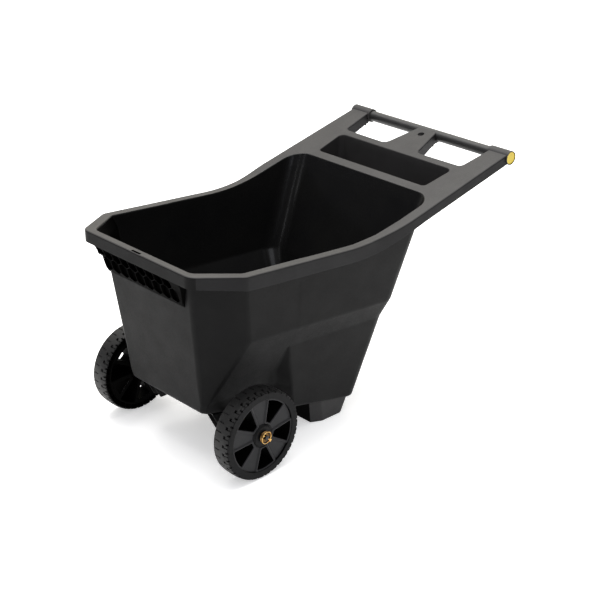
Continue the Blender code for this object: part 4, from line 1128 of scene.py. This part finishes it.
def disc():
    """Web with five windows, a rounded collar round each, and the hub."""
    web = PANEL
    plate = lathe_y("web", [(0.0200, web), (RIM_IN + 0.0012, web), (RIM_IN + 0.0012, web - WEB), (0.0200, web - WEB)], 120, bore=True)
    holes = [loft("hole", [turned_window(c, window(0.0025), y) for y in (BACK, FACE)]) for c in SPOKES]
    plate = combine(plate, join(holes), "DIFFERENCE")
    sec = [(-0.0050, BACK + 0.0006), (-0.0056, BACK + 0.0012), (-0.0050, BACK + 0.0022), (0.0, BACK + 0.0036), (0.0, RIB_FACE - 0.0022), (0.0003, RIB_FACE - 0.0011), (0.0011, RIB_FACE - 0.0004), (0.0022, RIB_FACE),
           (0.0034, RIB_FACE), (0.0045, RIB_FACE - 0.0004), (0.0053, RIB_FACE - 0.0012), (0.0058, RIB_FACE - 0.0024), (0.0064, web + 0.0006), (0.0075, web + 0.00004),
           (0.0075, web - 0.0030), (0.0047, web - 0.0030), (0.0044, BACK + 0.0014), (0.0038, BACK + 0.0006)]
    collars = []
    for c in SPOKES:
        rings = [turned_window(c, window(g), y) for g, y in sec]
        collars.append(loft("collar", rings, closed_tube=True))
    f, k = FACE + 0.0012, BACK - 0.0012
    prof = [(HUB_BORE, f)] + [(0.0220, f), (0.0228, f - 0.0004), (0.0236, f - 0.0004), (0.0244, f)] + arc(HUB_R - 0.0018, f - 0.0018, 0.0018, H, 0, 6)
    prof += [(HUB_R + 0.0022, web + 0.0022), (HUB_R + 0.0034, web + 0.0008), (HUB_R + 0.0054, web + 0.0001), (HUB_R + 0.0054, web - WEB + 0.0001), (HUB_R, web - WEB - 0.0002)]
    prof += arc(HUB_R - 0.0012, k + 0.0012, 0.0012, 0, -H, 5) + [(HUB_BORE, k)]
    hub = lathe_y("hub", prof, 96, bore=True)
    me = join([plate, hub] + collars)
    # Faces turned inboard and side walls set back from the face take the deep painted shade; the hub's faces take the
    # painted ring shade.
    for p in me.polygons:
        r = math.hypot(p.center.x, p.center.z)
        if p.normal.y < -0.2 or (abs(p.normal.y) < 0.35 and p.center.y < RIB_FACE - 0.0040):
            p.material_index = 2
        elif r < HUB_R + 0.0045:
            p.material_index = 1
    return me


def tyre_painted_shade(me, s):
    """Ring face takes the painted shade of the hub, the hollow behind it the deeper painted shade."""
    for p in me.polygons:
        r = math.hypot(p.center.x, p.center.z)
        if p.normal.y * s > 0.5 and r < 0.1245:
            p.material_index = 1
        elif r < 0.1215 and (p.center.y * s < 0.0262 or r < 0.1045):
            p.material_index = 2
    return me


def placed(me):
    return moved(me, WHEEL_X, 0.0, WHEEL_Z)


disc_mesh = disc()
e = 0.0006


def bush(f, s):
    """Flanged bush; f is the hub face it sits on, s the outward sense."""
    prof = [(0.0100, f - s * 0.0150), (0.0100, f + s * 0.0015), (0.0146, f + s * 0.0015), (0.0150, f + s * 0.0019), (0.0150, f + s * 0.0026), (0.0148, f + s * 0.0030), (0.0144, f + s * 0.0032)]
    prof += [(0.0076, f + s * 0.0032), (AXLE_R + 0.0001, f + s * 0.0026), (AXLE_R + 0.0001, f - s * 0.0150)]
    return lathe_y("bush", prof, 72, bore=True)


bush_out = bush(FACE, 1)
bush_in = bush(BACK, -1)
for v in bush_in.vertices:
    if abs(v.co.y - (BACK - 0.0032)) < 1e-6 or abs(v.co.y - (BACK - 0.0030)) < 1e-6:
        v.co.y -= 0.0008
for side, s in (("far", 1), ("near", -1)):
    rider = "wheel_%s_set" % side
    turn = (lambda me: me) if s > 0 else mirrored
    whole = moved(tyre_painted_shade(tyre(s, math.radians(5.2 if s > 0 else 3.35)), s), 0.0, s * MID, 0.0)
    piece("tyre_" + side, placed(whole), [TREAD, WHEEL_RING_SHADE, WHEEL_DEEP_SHADE], rider, ("wheel_" + side,), 26)
    piece("spoke_disc_" + side, placed(turn(disc_mesh)), [WHEEL, WHEEL_RING_SHADE, WHEEL_DEEP_SHADE], rider, (), 30)
    piece("bush_outer_" + side, placed(turn(bush_out)), NYLON, rider, ("hub_bush_outer_" + side,))
    piece("bush_inner_" + side, placed(turn(bush_in)), NYLON, rider, ("hub_bush_inner_" + side,))

# ------------------------------------------------------------- studio
me = bpy.data.meshes.new("floor")
me.from_pydata([(-30, -30, 0), (30, -30, 0), (30, 30, 0), (-30, 30, 0)], [], [(0, 1, 2, 3)])
floor = bpy.data.objects.new("studio_floor", me)
bpy.context.scene.collection.objects.link(floor)
m, nt, b, co = start("studio_floor")
nt.links.new(ramp(nt, noise(nt, co, 1.5, 2.0, 0.5), [(0.3, (0.93, 0.93, 0.93)), (0.7, (0.95, 0.95, 0.95))]), b.inputs["Base Color"])
b.inputs["Roughness"].default_value = 0.95
b.inputs["Specular IOR Level"].default_value = 0.1
b.inputs["Emission Color"].default_value = (1.0, 1.0, 1.0, 1.0)
b.inputs["Emission Strength"].default_value = 0.45
me.materials.append(m)

world = bpy.data.worlds.new("studio")
bpy.context.scene.world = world
world.use_nodes = True
wt = world.node_tree
wt.nodes.clear()
out = wt.nodes.new("ShaderNodeOutputWorld")
back = wt.nodes.new("ShaderNodeBackground")
wt.links.new(back.outputs[0], out.inputs[0])
wc = wt.nodes.new("ShaderNodeTexCoord")
dot = wt.nodes.new("ShaderNodeVectorMath")
dot.operation = "DOT_PRODUCT"
dot.inputs[1].default_value = (0.655, 0.690, 0.310)
wt.links.new(wc.outputs["Generated"], dot.inputs[0])
behind = ramp(wt, dot.outputs["Value"], [(0.0, (0.075, 0.075, 0.085)), (0.45, (0.11, 0.11, 0.12)), (0.80, (0.95, 0.92, 0.85)), (1.0, (1.50, 1.44, 1.28))])
sep = wt.nodes.new("ShaderNodeSeparateXYZ")
wt.links.new(wc.outputs["Generated"], sep.inputs[0])
above = ramp(wt, sep.outputs["Z"], [(0.30, (0.0, 0.0, 0.0)), (0.85, (0.85, 0.85, 0.86))])
both_ways = wt.nodes.new("ShaderNodeVectorMath")
both_ways.operation = "ADD"
wt.links.new(behind, both_ways.inputs[0])
wt.links.new(above, both_ways.inputs[1])
wt.links.new(both_ways.outputs[0], back.inputs["Color"])
back.inputs["Strength"].default_value = 1.0


def softbox(name, place, aim, size_x, size_y, power, colour):
    light = bpy.data.lights.new(name, "AREA")
    light.shape = "RECTANGLE"
    light.size, light.size_y = size_x, size_y
    light.energy = power
    light.color = colour
    ob = bpy.data.objects.new(name, light)
    ob.location = place
    ob.rotation_euler = (Vector(aim) - Vector(place)).to_track_quat("-Z", "Y").to_euler()
    bpy.context.scene.collection.objects.link(ob)


softbox("overhead", (0.3, 0.5, 3.6), (0.0, 0.0, 0.4), 3.6, 3.6, 190.0, (1.0, 0.99, 0.97))
softbox("front_fill", (-1.4, -4.2, 3.0), (0.0, 0.0, 0.2), 2.6, 2.2, 28.0, (0.90, 0.93, 1.0))
softbox("left_strip_wide", (-3.6, 1.0, 1.35), (0.2, 0.2, 0.5), 0.42, 1.5, 3.5, (0.97, 0.98, 1.0))
softbox("left_strip_thin", (-3.6, -0.9, 1.35), (0.2, 0.2, 0.5), 0.16, 1.5, 3.0, (0.97, 0.98, 1.0))

# ------------------------------------------------------------- camera
cam = bpy.data.cameras.new("photo_view")
cam.sensor_fit = "HORIZONTAL"
cam.sensor_width = 36.0
cam.lens = 1414.99 * 36.0 / 600.0
cam.clip_end = 100.0
cam_ob = bpy.data.objects.new("photo_view", cam)
bpy.context.scene.collection.objects.link(cam_ob)
bk = Vector((-0.6243, -0.6541, 0.4270)).normalized()
rt = Vector((0.7228, -0.6911, -0.0020))
rt = (rt - bk * rt.dot(bk)).normalized()
up = bk.cross(rt)
cam_ob.matrix_world = Matrix((
    (rt.x, up.x, bk.x, -2.5415),
    (rt.y, up.y, bk.y, -2.6735),
    (rt.z, up.z, bk.z, 2.0346),
    (0, 0, 0, 1)))
bpy.context.scene.camera = cam_ob
bpy.context.scene.view_settings.view_transform = "Standard"

bpy.context.view_layer.update()
